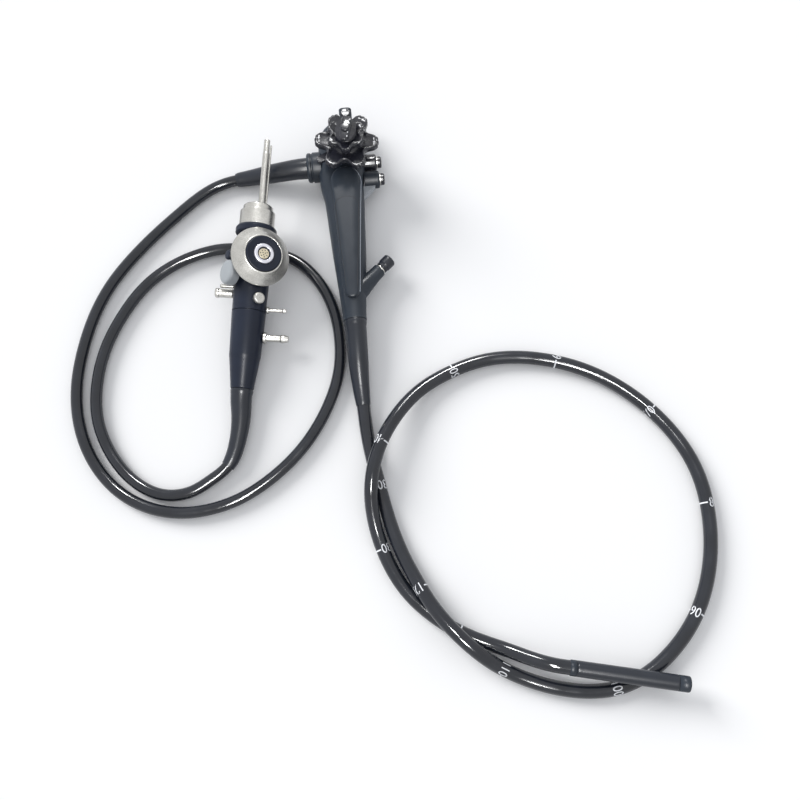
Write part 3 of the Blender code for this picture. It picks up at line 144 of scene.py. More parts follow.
ROOM_STRENGTH = 0.7
world = bpy.data.worlds.new("white_room")
bpy.context.scene.world = world
world.use_nodes = True
tree = world.node_tree
tree.nodes.clear()
light_path = add_node(tree, "ShaderNodeLightPath")
seen = add_node(tree, "ShaderNodeMath", {0: (light_path, "Is Camera Ray"),
                                         1: (light_path, "Is Transmission Ray")}, operation="MAXIMUM")
direct = add_node(tree, "ShaderNodeMath", {0: (seen, 0), 1: (light_path, "Is Glossy Ray")},
                  operation="MAXIMUM")
white = add_node(tree, "ShaderNodeBackground", {"Color": (1.0, 1.0, 1.0, 1.0), "Strength": 1.0})
room = add_node(tree, "ShaderNodeBackground", {"Color": colour("f4f6fa"), "Strength": ROOM_STRENGTH})
mixed = add_node(tree, "ShaderNodeMixShader", {0: (direct, 0), 1: (room, 0), 2: (white, 0)})
add_node(tree, "ShaderNodeOutputWorld", {0: (mixed, 0)})


def add_lamp(name, kind, energy, facing):
    """Lamp that shines in a direction."""
    lamp = bpy.data.lights.new(name, kind)
    lamp.energy = energy
    holder = add_object(name, lamp)
    holder.rotation_euler = facing.to_track_quat("-Z", "Y").to_euler()
    return holder


SUN_STRENGTH = 2.6
CEILING_WATTS = 22.0
CEILING_TARGET = Vector((0.0, -0.25, 0.0))
sun = add_lamp("hazy_sun", "SUN", SUN_STRENGTH, Vector((2.2, -1.95, -1.6)))
sun.data.angle = math.radians(30.0)
sun.visible_glossy = False
for i, place in enumerate(((0.0, -0.75, 1.8), (0.1, 1.1, 1.3), (0.0, -1.1, 1.3))):
    ceiling = add_lamp("ceiling_%d" % (i + 1), "AREA", CEILING_WATTS, CEILING_TARGET - Vector(place))
    ceiling.location = place
    ceiling.data.size = 0.24
    ceiling.visible_diffuse = False


# Insertion tube
# A steel coil and braid under a coat of dark polyurethane, smooth and slightly glossy, with a
# centimetre scale printed in white. It lies in one loop and passes over its own start.
TUBE_D = 0.0124
TUBE_FLOOR = 0.5 * TUBE_D
SLEEVE_R = 0.0068
SLEEVE_GAP = 0.0003
BEND_HEADING = math.radians(-13.4)
BEND_BASE = np.array((0.1582, -0.5027, TUBE_D + SLEEVE_GAP + SLEEVE_R))
BEND_FORWARD = np.array((math.cos(BEND_HEADING), math.sin(BEND_HEADING), 0.0))
BASE_RING_L = 0.012


def metres(points, floor=0.0):
    """Millimetre points in metres. A point without a height lies on the table, its centre at floor."""
    rows = [tuple(round(c * MM, 6) for c in point) for point in points]
    return tuple(row if len(row) == 3 else (*row, floor) for row in rows)


INSERTION_BOOT_ROUTE = metres((
    (-7.9, -170.8, 18), (-7.9, -175.5, 18), (-8, -192, 16.9), (-8.3, -214, 13.2),
    (-8.2, -234, 9), (-7.6, -250.7, 7.1),
))
INSERTION_ROUTE = metres((
    (-7, -268, 6.6), (-5.5, -288), (-0.5, -322), (6, -358), (16, -393, 8),
    (26, -417, 13), (37, -439, 18.4), (49.5, -457, 20), (63.5, -473, 18.4),
    (77.5, -486, 13.8), (93, -497, 8.4), (114, -508), (139, -517), (191, -520.5),
    (243, -493), (267, -466), (285, -429), (293.5, -385), (289.5, -338), (276, -306),
    (256, -278), (203, -236), (173, -224), (110, -217.5), (77, -226, 6.6),
    (46, -242, 9.2), (22, -265, 14.2), (5.5, -290, 18.8), (-4, -314, 19.4),
    (-8, -338, 15), (-6.5, -364, 8.4), (-1.2, -387), (19.5, -428), (35, -444.5),
    (55, -460), (75, -471), (95, -480, 8.6), (116, -489.9, 15.4), (136.1, -497.33, 19.5),
), TUBE_FLOOR)


def distances(points):
    """How far each point of a line lies from its start, along the line."""
    return np.concatenate(([0.0], np.cumsum(np.linalg.norm(np.diff(points, axis=0), axis=1))))


def sample(wanted, run, values):
    """Values along a line at the wanted distances, straight between its points."""
    return np.stack([np.interp(wanted, run, column) for column in values.T], axis=1)


def around(count):
    """Angles of one full turn at even steps."""
    return np.linspace(0.0, 2.0 * np.pi, count, endpoint=False)


SPLINE_SAMPLES = 4000


def smooth_path(points, first, last, spacing=0.0012):
    """Natural cubic spline through the points, from number first to number last, at even spacing."""
    pts = np.array(points, float)
    knots = distances(pts)
    gap = np.diff(knots)
    size = len(pts)
    matrix = np.eye(size)
    inner = np.arange(1, size - 1)
    matrix[inner, inner - 1] = gap[:-1]
    matrix[inner, inner] = 2.0 * (gap[:-1] + gap[1:])
    matrix[inner, inner + 1] = gap[1:]
    right = np.zeros((size, 3))
    slope = np.diff(pts, axis=0) / gap[:, None]
    right[1:-1] = 6.0 * np.diff(slope, axis=0)
    bend = np.linalg.solve(matrix, right)
    s = np.linspace(knots[first], knots[last], SPLINE_SAMPLES)
    k = np.clip(np.searchsorted(knots, s, side="right") - 1, 0, size - 2)
    before = (knots[k + 1] - s)[:, None]
    after = (s - knots[k])[:, None]
    h = gap[k][:, None]
    curve = (bend[k] * before ** 3 + bend[k + 1] * after ** 3) / (6.0 * h)
    curve += (pts[k] / h - bend[k] * h / 6.0) * before
    curve += (pts[k + 1] / h - bend[k + 1] * h / 6.0) * after
    run = distances(curve)
    return sample(np.linspace(0.0, run[-1], max(3, int(run[-1] / spacing))), run, curve)


def path_frame(path):
    """Unit vectors along a path: forward, level sideways and up square to both."""
    forward = np.gradient(path, axis=0)
    forward /= np.linalg.norm(forward, axis=1)[:, None]
    side = np.cross(forward, (0.0, 0.0, 1.0))
    side /= np.linalg.norm(side, axis=1)[:, None]
    return forward, side, np.cross(side, forward)


def carried_rings(path, radii, count):
    """Rings of the given radii square to a path: centre + radius * (cos * side + sin * up)."""
    _, side, up = path_frame(path)
    turn = around(count)[None, :, None]
    radius = np.broadcast_to(radii, len(path))[:, None, None]
    return path[:, None] + radius * (np.cos(turn) * side[:, None] + np.sin(turn) * up[:, None])


def add_surface(name, grid, material, closed=False, sharp=35.0):
    """Mesh over a grid of points (rows, points in a row, 3) whose rows close on themselves. A
    closed grid joins its last row to its first, and an open one is capped."""
    rows, cols = grid.shape[:2]
    index = np.arange(rows * cols).reshape(rows, cols)
    index = np.concatenate((index, index[:, :1]), axis=1)
    if closed:
        index = np.concatenate((index, index[:1]), axis=0)
    faces = np.stack((index[:-1, :-1], index[:-1, 1:], index[1:, 1:], index[1:, :-1]), axis=-1)
    faces = faces.reshape(-1, 4).tolist()
    if not closed:
        faces += [np.arange(cols).tolist(), (np.arange(cols) + (rows - 1) * cols).tolist()]
    mesh = bpy.data.meshes.new(name)
    mesh.from_pydata(grid.reshape(-1, 3).tolist(), [], faces)
    work = bmesh.new()
    work.from_mesh(mesh)
    bmesh.ops.remove_doubles(work, verts=work.verts, dist=1e-7)
    bmesh.ops.recalc_face_normals(work, faces=work.faces)
    work.to_mesh(mesh)
    work.free()
    mesh.shade_smooth()
    mesh.set_sharp_from_angle(angle=math.radians(sharp))
    mesh.materials.append(material)
    return add_object(name, mesh)


def object_of(work, name, material):
    """Object from a bmesh, which is freed."""
    mesh = bpy.data.meshes.new(name)
    work.to_mesh(mesh)
    work.free()
    mesh.materials.append(material)
    return add_object(name, mesh)


def finish_piece(piece, body, slot, *replaced):
    """Parent a piece to the body it rides on and hide the CAD nodes it stands for. slot is not used."""
    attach(piece, body)
    if replaced:
        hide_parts(*replaced)
    return piece


# Polyurethane coat: black with a blue cast, a soft orange-peel gloss and fine handling wear.
tube_coat = new_material("polyurethane_tube_coat", "1e2229", 0.14, grain=(900, 2, 0.05),
                         patch=(55, 4, "191c22", "252932"), gloss=(55, 4, 0.35, 0.65, 0.09, 0.2))

lead = [tuple(BEND_BASE - BASE_RING_L * BEND_FORWARD), tuple(BEND_BASE)]
insertion_points = (*INSERTION_BOOT_ROUTE, *INSERTION_ROUTE, *lead)
boot_end = len(INSERTION_BOOT_ROUTE) - 1
insertion_path = smooth_path(insertion_points, boot_end, len(insertion_points) - 2)
insertion_path[:, 2] = np.maximum(insertion_path[:, 2], TUBE_FLOOR)
insertion_tube = add_surface("insertion_tube_skin", carried_rings(insertion_path, TUBE_FLOOR, 40), tube_coat)
finish_piece(insertion_tube, "scope", "tube_skin", "insertion_tube")

# White ink of the scale, slightly raised by the print
scale_ink = new_material("white_scale_ink", "eceef2", 0.55)

CENTIMETRE = 0.01
SCALE_FIRST = 20
SCALE_STEP = 10
DIGIT_HEIGHT = 0.0085
DIGIT_SHARE = 0.69
DIGIT_NARROWING = 0.8
TICK_WIDTH = 0.0013
TICK_GAP = 0.0009
TICK_COLUMNS = 48
INK_RISE = 0.00008
WORKING_FROM_BASE = 0.0895 + BASE_RING_L
# How far the number stands round the tube from its top, in degrees, for 20, 30 and so on
SCALE_TURNS = (120, 35, -35, 40, -50, 38, -45, 30, 0, 5, -45, 50)


def add_scale_mark(text, distance, turn):
    """Flat number rolled round the tube, its height along the tube, in the gap of a thin ring."""
    name = "scale_" + text
    letters = bpy.data.curves.new(name, "FONT")
    letters.body = text
    letters.size = DIGIT_HEIGHT / DIGIT_SHARE
    letters.align_x = "CENTER"
    letters.resolution_u = 4
    shape = add_object(name, letters)
    bpy.context.view_layer.update()
    work = bmesh.new()
    work.from_mesh(shape.evaluated_get(bpy.context.evaluated_depsgraph_get()).to_mesh())
    bpy.data.objects.remove(shape)
    bmesh.ops.scale(work, vec=(DIGIT_NARROWING, 1.0, 1.0), verts=work.verts)
    half_width = max(v.co.x for v in work.verts) + TICK_GAP
    strip = np.linspace(half_width, math.pi * TUBE_D - half_width, TICK_COLUMNS)
    middle = 0.5 * DIGIT_HEIGHT
    low = [work.verts.new((x, middle - 0.5 * TICK_WIDTH, 0.0)) for x in strip]
    high = [work.verts.new((x, middle + 0.5 * TICK_WIDTH, 0.0)) for x in strip]
    for i in range(TICK_COLUMNS - 1):
        work.faces.new((low[i], low[i + 1], high[i + 1], high[i]))
    mark = object_of(work, name, scale_ink)
    flat = np.empty(len(mark.data.vertices) * 3)
    mark.data.vertices.foreach_get("co", flat)
    flat = flat.reshape(-1, 3)
    run = distances(insertion_path)
    along = run[-1] + WORKING_FROM_BASE - distance + flat[:, 1] - middle
    centre, side, up = (sample(along, run, v) for v in (insertion_path, *path_frame(insertion_path)[1:]))
    radius = TUBE_FLOOR + INK_RISE
    angle = math.radians(90.0 + turn) - flat[:, 0] / radius
    placed = centre + radius * (np.cos(angle)[:, None] * side + np.sin(angle)[:, None] * up)
    mark.data.vertices.foreach_set("co", placed.ravel())
    return finish_piece(mark, "scope", "tube_skin")


for i, turn in enumerate(SCALE_TURNS):
    reading = SCALE_FIRST + SCALE_STEP * i
    add_scale_mark(str(reading), CENTIMETRE * reading, turn)


# Universal cord
# The thinner cord that carries light, air, water and video from the connector to the head: the
# same coated tube. It leaves the head to the left and makes a loop and a half.
CORD_D = 0.0108
CORD_FLOOR = 0.5 * CORD_D
CORD_BOOT_ROUTE = metres((
    (-41.8, -5.5, 19), (-46.8, -5.5, 19), (-62, -5.4, 17.2), (-80, -4.9, 13.2),
    (-98, -4.6, 9.2), (-113.7, -5, 7.3),
))
UNIVERSAL_ROUTE = metres((
    (-133, -9, 6), (-152, -19), (-172, -34.5), (-197, -56), (-221, -80),
    (-241, -105), (-257.5, -136), (-268, -168), (-274, -202), (-272, -242),
    (-258, -281), (-234, -311), (-208, -327), (-180, -334), (-152, -333),
    (-126, -326), (-98, -311), (-69, -287), (-42, -250), (-28, -215), (-24.5, -183),
    (-29, -148), (-43, -117), (-66, -94), (-95, -84), (-125, -78), (-154, -81),
    (-181, -91), (-207, -109), (-229, -136), (-246, -168), (-255, -203),
    (-255, -238), (-243, -273), (-222, -301), (-196, -316), (-170, -315.5, 5.5),
    (-151.5, -306.5, 6.2),
), CORD_FLOOR)
CONNECTOR_BOOT_REST = metres((
    (-121, -246.4, 9.4), (-126, -273.8, 8), (-136.3, -295.6, 7.1),
))

# The connector's frame: x to its right, y along its axis towards the rod, z up, tilted and rolled
TAIL_BACK = -147.0
ROLL = 27.0
connector_place = (
    Matrix.Translation((-0.0955, -0.081, 0.0286))
    @ Matrix.Rotation(math.radians(-9.2), 4, "Z")
    @ Matrix.Rotation(math.radians(6.75), 4, "X")
    @ Matrix.Rotation(math.radians(ROLL), 4, "Y")
)
boot_start = [tuple(connector_place @ Vector((0.0, (TAIL_BACK - out) * MM, 0.0))) for out in (0.3, 4.0, 8.0)]
connector_boot_route = (*boot_start, *CONNECTOR_BOOT_REST)
universal_points = (*CORD_BOOT_ROUTE, *UNIVERSAL_ROUTE, *connector_boot_route[::-1])
universal_path = smooth_path(universal_points, len(CORD_BOOT_ROUTE) - 1,
                             len(universal_points) - len(connector_boot_route))
universal_path[:, 2] = np.maximum(universal_path[:, 2], CORD_FLOOR)
universal_cord = add_surface("universal_cord_skin", carried_rings(universal_path, CORD_FLOOR, 40), tube_coat)
finish_piece(universal_cord, "scope", "tube_skin", "universal_cord")


# Boots
# Soft rubber strain reliefs that taper from grip, collar and connector onto the tubes, moulded
# with a thin lip at the thick end.
rubber = new_material("moulded_black_rubber", "1f232b", 0.3, specular=0.4, grain=(700, 3, 0.15),
                      patch=(60, 3, "1c2028", "282d37"))


def add_boot(name, points, last, profile, node):
    """Boot from the first point to number last. profile gives (share of the length, radius in mm),
    averaged over a few millimetres."""
    path = smooth_path(points, 0, last, spacing=0.0006)
    share = np.linspace(0.0, 1.0, len(path))
    radius = np.interp(share, [s for s, _ in profile], [r for _, r in profile]) * MM
    soft = np.convolve(np.pad(radius, 2, mode="edge"), np.ones(5) / 5.0, mode="valid")
    piece = add_surface(name, carried_rings(path, soft, 64), rubber)
    return finish_piece(piece, "scope", "soft_rubber", node)


add_boot("insertion_boot_skin", insertion_points, boot_end, (
    (0, 10.5), (0.01, 10.8), (0.045, 10.8), (0.055, 10.1), (0.5, 9.4), (0.85, 7.7), (0.98, 6.9), (1, 6.4),
), "insertion_boot")
add_boot("cord_boot_skin", (*CORD_BOOT_ROUTE, *UNIVERSAL_ROUTE), len(CORD_BOOT_ROUTE) - 1, (
    (0, 10.3), (0.5, 9.3), (0.9, 7.4), (0.97, 7.1), (1, 6.4),
), "cord_boot")
connector_boot = add_boot("connector_boot_skin", (*connector_boot_route, *UNIVERSAL_ROUTE[::-1]),
                          len(connector_boot_route) - 1, (
    (0, 10.2), (0.01, 10.6), (0.04, 10.6), (0.05, 10.2), (0.3, 9.2), (0.6, 7.9), (0.9, 7), (1, 6.2),
), "connector_boot")


# Cord collar
# A moulded nut that clamps the cord boot to the side of the head, with a groove round it.
def at(x, y, z):
    """Matrix that moves by millimetres."""
    return Matrix.Translation((x * MM, y * MM, z * MM))


along_x = Matrix.Rotation(math.radians(90.0), 4, "Y")
along_y = Matrix.Rotation(math.radians(-90.0), 4, "X")


def soften(profile, radius, steps=5):
    """Profile with each corner rounded: a parabola between two points at radius from the corner."""
    p = np.asarray(profile, float)
    back = p[:-2] - p[1:-1]
    ahead = p[2:] - p[1:-1]
    back_length = np.linalg.norm(back, axis=1)[:, None]
    ahead_length = np.linalg.norm(ahead, axis=1)[:, None]
    cut = np.minimum(radius, 0.45 * np.minimum(back_length, ahead_length))
    start = (p[1:-1] + back / back_length * cut)[:, None]
    end = (p[1:-1] + ahead / ahead_length * cut)[:, None]
    t = np.linspace(0.0, 1.0, steps)[None, :, None]
    arc = (1.0 - t) ** 2 * start + 2.0 * t * (1.0 - t) * p[1:-1][:, None] + t ** 2 * end
    return np.vstack((p[:1], arc.reshape(-1, 2), p[-1:]))


def placed(grid, place):
    """Grid of millimetre points carried by a matrix into the model's frame, in metres."""
    turn = np.array(place.to_3x3())
    return grid * MM @ turn.T + np.array(place.translation)


def turned_grid(radius, height, angle):
    """Grid of points about z: radius and height row by row, angle along each row."""
    radius, height, angle = np.broadcast_arrays(radius, height, angle)
    return np.stack((radius * np.cos(angle), radius * np.sin(angle), height), axis=-1)


AXIS_R = 0.01


def add_turned(name, profile, material, place, edge=0.35, count=96, closed=False, flat_start=True):
    """Body turned about z through (radius, height) pairs in millimetres, with softened corners.
    A closed profile is a ring, and the ends of an open one run flat to the axis."""
    line = np.asarray(profile, float)
    if closed:
        line = soften(np.vstack((line[-1:], line, line[:1])), edge)[1:-1]
    else:
        start = line[:1] * (0.0, 1.0) if flat_start and line[0, 0] > 0.0 else line[:0]
        end = line[-1:] * (0.0, 1.0) if line[-1, 0] > 0.0 else line[:0]
        line = soften(np.vstack((start, line, end)), edge)
    line[:, 0] = np.maximum(line[:, 0], AXIS_R)
    grid = turned_grid(line[:, :1], line[:, 1:], around(count))
    return add_surface(name, placed(grid, place), material, closed=closed)


def cutter(radius, low, high, place):
    """Round tool about z that cuts a seat or a hole."""
    return add_turned("cutter", ((radius, low), (radius, high)), head_abs, place)


def add_part(name, profile, material, place, body, slot, *replaced, **options):
    """Turned body, declared at once."""
    return finish_piece(add_turned(name, profile, material, place, **options), body, slot, *replaced)


# Moulded ABS of the head: near black with a blue cast, satin, with a fine spark-eroded grain.
head_abs = new_material("satin_abs_head", "242932", 0.36, specular=0.3, grain=(1100, 2, 0.12),
                        patch=(40, 3, "222932", "2f3741"), gloss=(40, 3, 0.3, 0.7, 0.34, 0.48))

CLEARANCE = 0.3
COLLAR_SEAT_X = -27.0
COLLAR_L = 14.2
collar_place = at(COLLAR_SEAT_X - CLEARANCE - COLLAR_L, -5.5, 19) @ along_x
add_part("cord_collar_skin", (
    (10.6, 1.2), (12.4, 0), (13.6, 0.5), (14.4, 1.8), (14.4, 3.8), (13.7, 4.3), (13.7, 5.5),
    (14.75, 6.1), (14.75, COLLAR_L),
), head_abs, collar_place, "scope", "head_plastic", "cord_collar", flat_start=False)


# Grip housing
# One long shell of moulded ABS, wide under the knobs and drawn in to the boot, with the branch of
# the biopsy port and the boss of the knobs moulded on. It is closed below by the back cover.
GRIP_END_Y = -170.5
HEAD_TOP_Y = 38.0
HEAD_PLAN = np.array((
    (38, -2, 12), (34, -4, 15.5), (28, -5.5, 19), (16, -6, 22.5), (0, -6.5, 23),
    (-16, -7.7, 22.3), (-30, -8.8, 21), (-43, -7.5, 19.5), (-60, -7.5, 18.4),
    (-77, -7.5, 17.5), (-105, -7.5, 15.9), (-140, -7.7, 13.1), (-164, -7.9, 11.2),
    (GRIP_END_Y, -7.9, 10.8),
))
HEAD_SIDE = np.array((
    (38, 7, 29, 5), (34, 4.3, 32.5, 8), (28, 4.3, 34, 9.5), (16, 4.3, 34.5, 10),
    (-34, 4.3, 34.5, 10.5), (-43, 1, 34.5, 12), (-60, 1, 34, 13),
    (-77, 1.6, 33.5, 13.5), (-105, 3, 32.4, 13.5), (-140, 5.4, 30.6, 12),
    (-164, 6.8, 29.1, 11), (GRIP_END_Y, 7.2, 28.8, 10.8),
))


def head_value(y, table, column):
    """A column of a table of stations along the grip, averaged over 6 mm to run smoothly."""
    reach = np.linspace(-3.0, 3.0, 7)
    near = np.clip(np.asarray(y, float)[..., None] + reach, GRIP_END_Y, HEAD_TOP_Y)
    return np.interp(near, table[::-1, 0], table[::-1, column]).mean(axis=-1)


def rounded_rings(y, centre, half, low, high, corner, across=14):
    """Rounded rectangles across the grip, one for each y: quarter circles moved out to the corners."""
    quarter = np.linspace(0.0, 0.5 * np.pi, across)
    turn = np.concatenate([quarter + k * 0.5 * np.pi for k in range(4)])
    right = np.repeat((1.0, -1.0, -1.0, 1.0), across)
    upper = np.repeat((1.0, 1.0, -1.0, -1.0), across)
    corner = np.minimum(corner, np.minimum(half, 0.5 * (high - low)))
    x = centre[:, None] + right * (half - corner)[:, None] + corner[:, None] * np.cos(turn)
    middle = 0.5 * (high + low)
    z = middle[:, None] + upper * (0.5 * (high - low) - corner)[:, None] + corner[:, None] * np.sin(turn)
    return np.stack((x, np.broadcast_to(y[:, None], x.shape), z), axis=-1)


NOSE_L = 3.0
NOSE_DEPTH = 2.6
head_y = np.concatenate((np.linspace(GRIP_END_Y, 30.0, 140), np.linspace(30.5, HEAD_TOP_Y, 16)))
nose = np.clip((head_y - HEAD_TOP_Y + NOSE_L) / NOSE_L, 0.0, 1.0)
draw_in = NOSE_DEPTH * (1.0 - np.sqrt(1.0 - nose ** 2))
housing = add_surface("grip_housing_skin", MM * rounded_rings(
    head_y, head_value(head_y, HEAD_PLAN, 1), head_value(head_y, HEAD_PLAN, 2) - draw_in,
    head_value(head_y, HEAD_SIDE, 1) + draw_in, head_value(head_y, HEAD_SIDE, 2) - draw_in,
    head_value(head_y, HEAD_SIDE, 3)), head_abs)


def carve(piece, operation, *tools):
    """Join or cut closed tools with a piece by the exact Boolean and keep the result as its mesh."""
    for tool in tools:
        step = piece.modifiers.new(tool.name, "BOOLEAN")
        step.operation = operation
        step.object = tool
    bpy.context.view_layer.update()
    result = bpy.data.meshes.new_from_object(piece.evaluated_get(bpy.context.evaluated_depsgraph_get()))
    piece.modifiers.clear()
    piece.data = result
    for tool in tools:
        bpy.data.objects.remove(tool)
    result.shade_smooth()
    result.set_sharp_from_angle(angle=math.radians(32.0))


PORT_OUT = Vector((0.743, 0.669, 0.0)).normalized()
port_side = Vector((0.0, 0.0, 1.0)).cross(PORT_OUT)
port_place = at(20.3, -120.5, 18) @ Matrix((port_side, (0.0, 0.0, 1.0), PORT_OUT)).transposed().to_4x4()
branch = add_turned("branch", (
    (11, -37), (9.6, -28), (8, -18), (6.9, -9), (6.65, -4), (6.65, 0),
), head_abs, port_place, edge=1.2)
boss = add_turned("boss", (
    (15, 31.5), (13.5, 35.5), (13.5, 38.2), (12, 42),
), head_abs, Matrix(), edge=0.6)
carve(housing, "UNION", branch, boss)

VALVE_Z = 18.5
VALVE_SEAT_X = 13.8
AIR_WATER_Y = -5.3
SUCTION_Y = -24.3
SEAT_DEPTH = 20.0
SHAFT_HOLE_R = 5.4
VALVE_SEAT_R = 8.8
SWITCH_SEAT_R = 4.5
SWITCH_DEPTH = 3.0
cuts = [cutter(SHAFT_HOLE_R, 30.0, 45.0, Matrix())]
for y in (AIR_WATER_Y, SUCTION_Y):
    cuts.append(cutter(VALVE_SEAT_R, 0.0, SEAT_DEPTH, at(VALVE_SEAT_X - CLEARANCE, y, VALVE_Z) @ along_x))
side_switches = []
for name, y in (("switch_2", 12.5), ("switch_3", 24.5)):
    side_x = float(np.interp(y, HEAD_PLAN[::-1, 0], (HEAD_PLAN[:, 1] + HEAD_PLAN[:, 2])[::-1]))
    place = at(side_x - SWITCH_DEPTH, y, VALVE_Z) @ along_x
    side_switches.append((name, place))
    cuts.append(cutter(SWITCH_SEAT_R, 0.0, SEAT_DEPTH, place))
carve(housing, "DIFFERENCE", *cuts)
finish_piece(housing, "scope", "head_plastic", "grip_housing")

# Grip cover: the thin raised shell on the front of the grip, round below the knobs
ARCH_X = -4.5
ARCH_Y = -32.0
ARCH_R = 14.6
COVER_T = 3.0
COVER_EDGE_T = 0.9
COVER_ROUND = 2.2
COVER_END_Y = -152.0
TAIL_Y = -144.0
TAIL_HALF = 7.05
TAIL_L = 8.05
COVER_PLAN = np.array(((COVER_END_Y, -7.8, 4), (-146, -7.8, 7), (-105, -6.8, 9.8),
                       (-60, -5.4, 12.6), (ARCH_Y, ARCH_X, ARCH_R)))


def deck_height(x, y, offset):
    """Height of the housing's front, flat in the middle and round at the sides, plus an offset."""
    flat = head_value(y, HEAD_PLAN, 2) - head_value(y, HEAD_SIDE, 3)
    corner = head_value(y, HEAD_SIDE, 3)
    beyond = np.maximum(np.abs(x - head_value(y, HEAD_PLAN, 1)) - flat, 0.0)
    height = np.sqrt(np.maximum((corner + offset) ** 2 - beyond ** 2, 0.0))
    return head_value(y, HEAD_SIDE, 2) - corner + height


arch = ARCH_R * np.cos(np.linspace(0.06, 0.5 * np.pi, 36))
cover_y = np.concatenate((ARCH_Y + arch, np.linspace(ARCH_Y - 1.0, TAIL_Y, 90),
                          TAIL_Y - 8.0 * np.sin(np.linspace(0.05, 0.5 * np.pi, 14))))
cover_half = np.interp(cover_y, COVER_PLAN[:, 0], COVER_PLAN[:, 2])
in_arch = cover_y > ARCH_Y
cover_half[in_arch] = np.sqrt(ARCH_R ** 2 - (cover_y[in_arch] - ARCH_Y) ** 2)
in_tail = cover_y < TAIL_Y
tail_share = (cover_y[in_tail] - TAIL_Y) / TAIL_L
cover_half[in_tail] = TAIL_HALF * np.sqrt(np.maximum(1.0 - tail_share ** 2, 0.003))
cover_mid = np.interp(cover_y, COVER_PLAN[:, 0], COVER_PLAN[:, 1])
across = np.sin(np.linspace(-0.5 * np.pi, 0.5 * np.pi, 41))
cover_x = cover_mid[:, None] + cover_half[:, None] * across
cover_yy = np.broadcast_to(cover_y[:, None], cover_x.shape)
edge_gap = np.minimum(cover_half[:, None] * (1.0 - np.abs(across)), COVER_ROUND) / COVER_ROUND
end_gap = np.clip(np.minimum(ARCH_Y + ARCH_R - cover_yy, cover_yy - COVER_END_Y) / COVER_ROUND, 0.0, 1.0)
rise = np.sqrt(np.clip(1.0 - (1.0 - edge_gap * end_gap) ** 2, 0.0, 1.0))
cover_top = COVER_EDGE_T + (COVER_T - 0.5 * COVER_EDGE_T) * rise
top = np.stack((cover_x, cover_yy, deck_height(cover_x, cover_yy, cover_top)), axis=-1)
under = np.stack((cover_x, cover_yy, deck_height(cover_x, cover_yy, CLEARANCE)), axis=-1)
cover = add_surface("grip_cover_skin", MM * np.concatenate((top, under[:, ::-1]), axis=1), head_abs)
finish_piece(cover, "scope", "head_plastic", "grip_cover")

# A fine bead along the cover's right side and over its round end, its light grey a painted highlight
# of the edge, and the seam of the soft insert in its front. Both lie on the cover's own surface.
edge_painted_highlight = new_material("bead_with_painted_highlight", "b4bbc6", 0.25)
seam_black = new_material("seam_shadow", "15181e", 0.7)


def add_trace(name, x, y, offset, radius, material):
    """Thin round line over the front of the grip through plan points, at an offset from its surface."""
    path = MM * np.stack((x, y, deck_height(x, y, offset)), axis=1)
    line = add_surface(name, carried_rings(path, MM * radius, 10), material)
    return finish_piece(line, "scope", "head_plastic")


arch_turn = np.linspace(math.radians(110.0), 0.0, 60)
side_y = np.linspace(ARCH_Y - 1.0, -146.0, 120)
side_x = np.interp(side_y, COVER_PLAN[:, 0], COVER_PLAN[:, 1] + COVER_PLAN[:, 2])
add_trace("cover_edge_painted_highlight", np.concatenate((ARCH_X + ARCH_R * np.cos(arch_turn), side_x)),
          np.concatenate((ARCH_Y + ARCH_R * np.sin(arch_turn), side_y)), COVER_EDGE_T, 0.55, edge_painted_highlight)
INSERT_X = -5.4
INSERT_Y = -58.0
INSERT_HALF = 11.2
INSERT_END_Y = -142.0
insert_turn = np.linspace(math.pi, 0.0, 60)
insert_x = INSERT_X + INSERT_HALF * np.cos(insert_turn)
insert_y = INSERT_Y + 8.0 * np.sin(insert_turn)
down_y = np.linspace(INSERT_Y - 1.0, INSERT_END_Y, 80)
down_half = np.interp(down_y, (INSERT_END_Y, INSERT_Y), (5.2, INSERT_HALF))
down_mid = np.interp(down_y, (INSERT_END_Y, INSERT_Y), (-7.8, INSERT_X))
add_trace("insert_seam", np.concatenate(((down_mid - down_half)[::-1], insert_x, down_mid + down_half)),
          np.concatenate((down_y[::-1], insert_y, down_y)), COVER_T + 0.3, 0.3, seam_black)

# Small steel screw at the cover's left edge, the white dot in the photograph
screw_steel = new_material("polished_stainless_screw", "d8dadc", 0.22, 1.0)
screw_tilt = Matrix.Rotation(math.radians(-28.0), 4, "Y")
add_part("cover_screw", ((0, 0), (1.3, 0), (1.3, 0.7), (1, 1.1), (0, 1.3)), screw_steel,
         at(-20.6, -34.5, 31.2) @ screw_tilt, "scope", "steel", edge=0.2, count=32)

# The raised ring where the grip meets its boot
add_part("grip_end_ring", (
    (10.9, 0), (11.2, 0.5), (11.2, 1.7), (10.9, 2.2),
), head_abs, at(-7.9, GRIP_END_Y, 18) @ along_y, "scope", "head_plastic", edge=0.3)


# Knobs
# Hand wheels of glass-filled nylon, one above the other: the large one for up and down, the small
# one for left and right. Each has six lobes with fine grip ribs across their ends, a dished face
# and a raised hub.
knob_nylon = new_material("moulded_nylon_knob", "202128", 0.3, grain=(900, 3, 0.18),
                          patch=(70, 3, "1c1d24", "2e2f38"), gloss=(70, 3, 0.3, 0.7, 0.16, 0.34))

LOBES = 6
LOBE_SQUARE = 1.3
LOBE_BROAD = 0.12
RIB_DEPTH = 0.7


def star_share(angle, phase):
    """Share of the way from a valley to a lobe: a cosine squared off, so that lobes are broad."""
    wave = np.cos(LOBES * (angle - phase))
    share, low, high = (np.tanh(LOBE_SQUARE * (w + LOBE_BROAD)) for w in (wave, -1.0, 1.0))
    return (share - low) / (high - low)


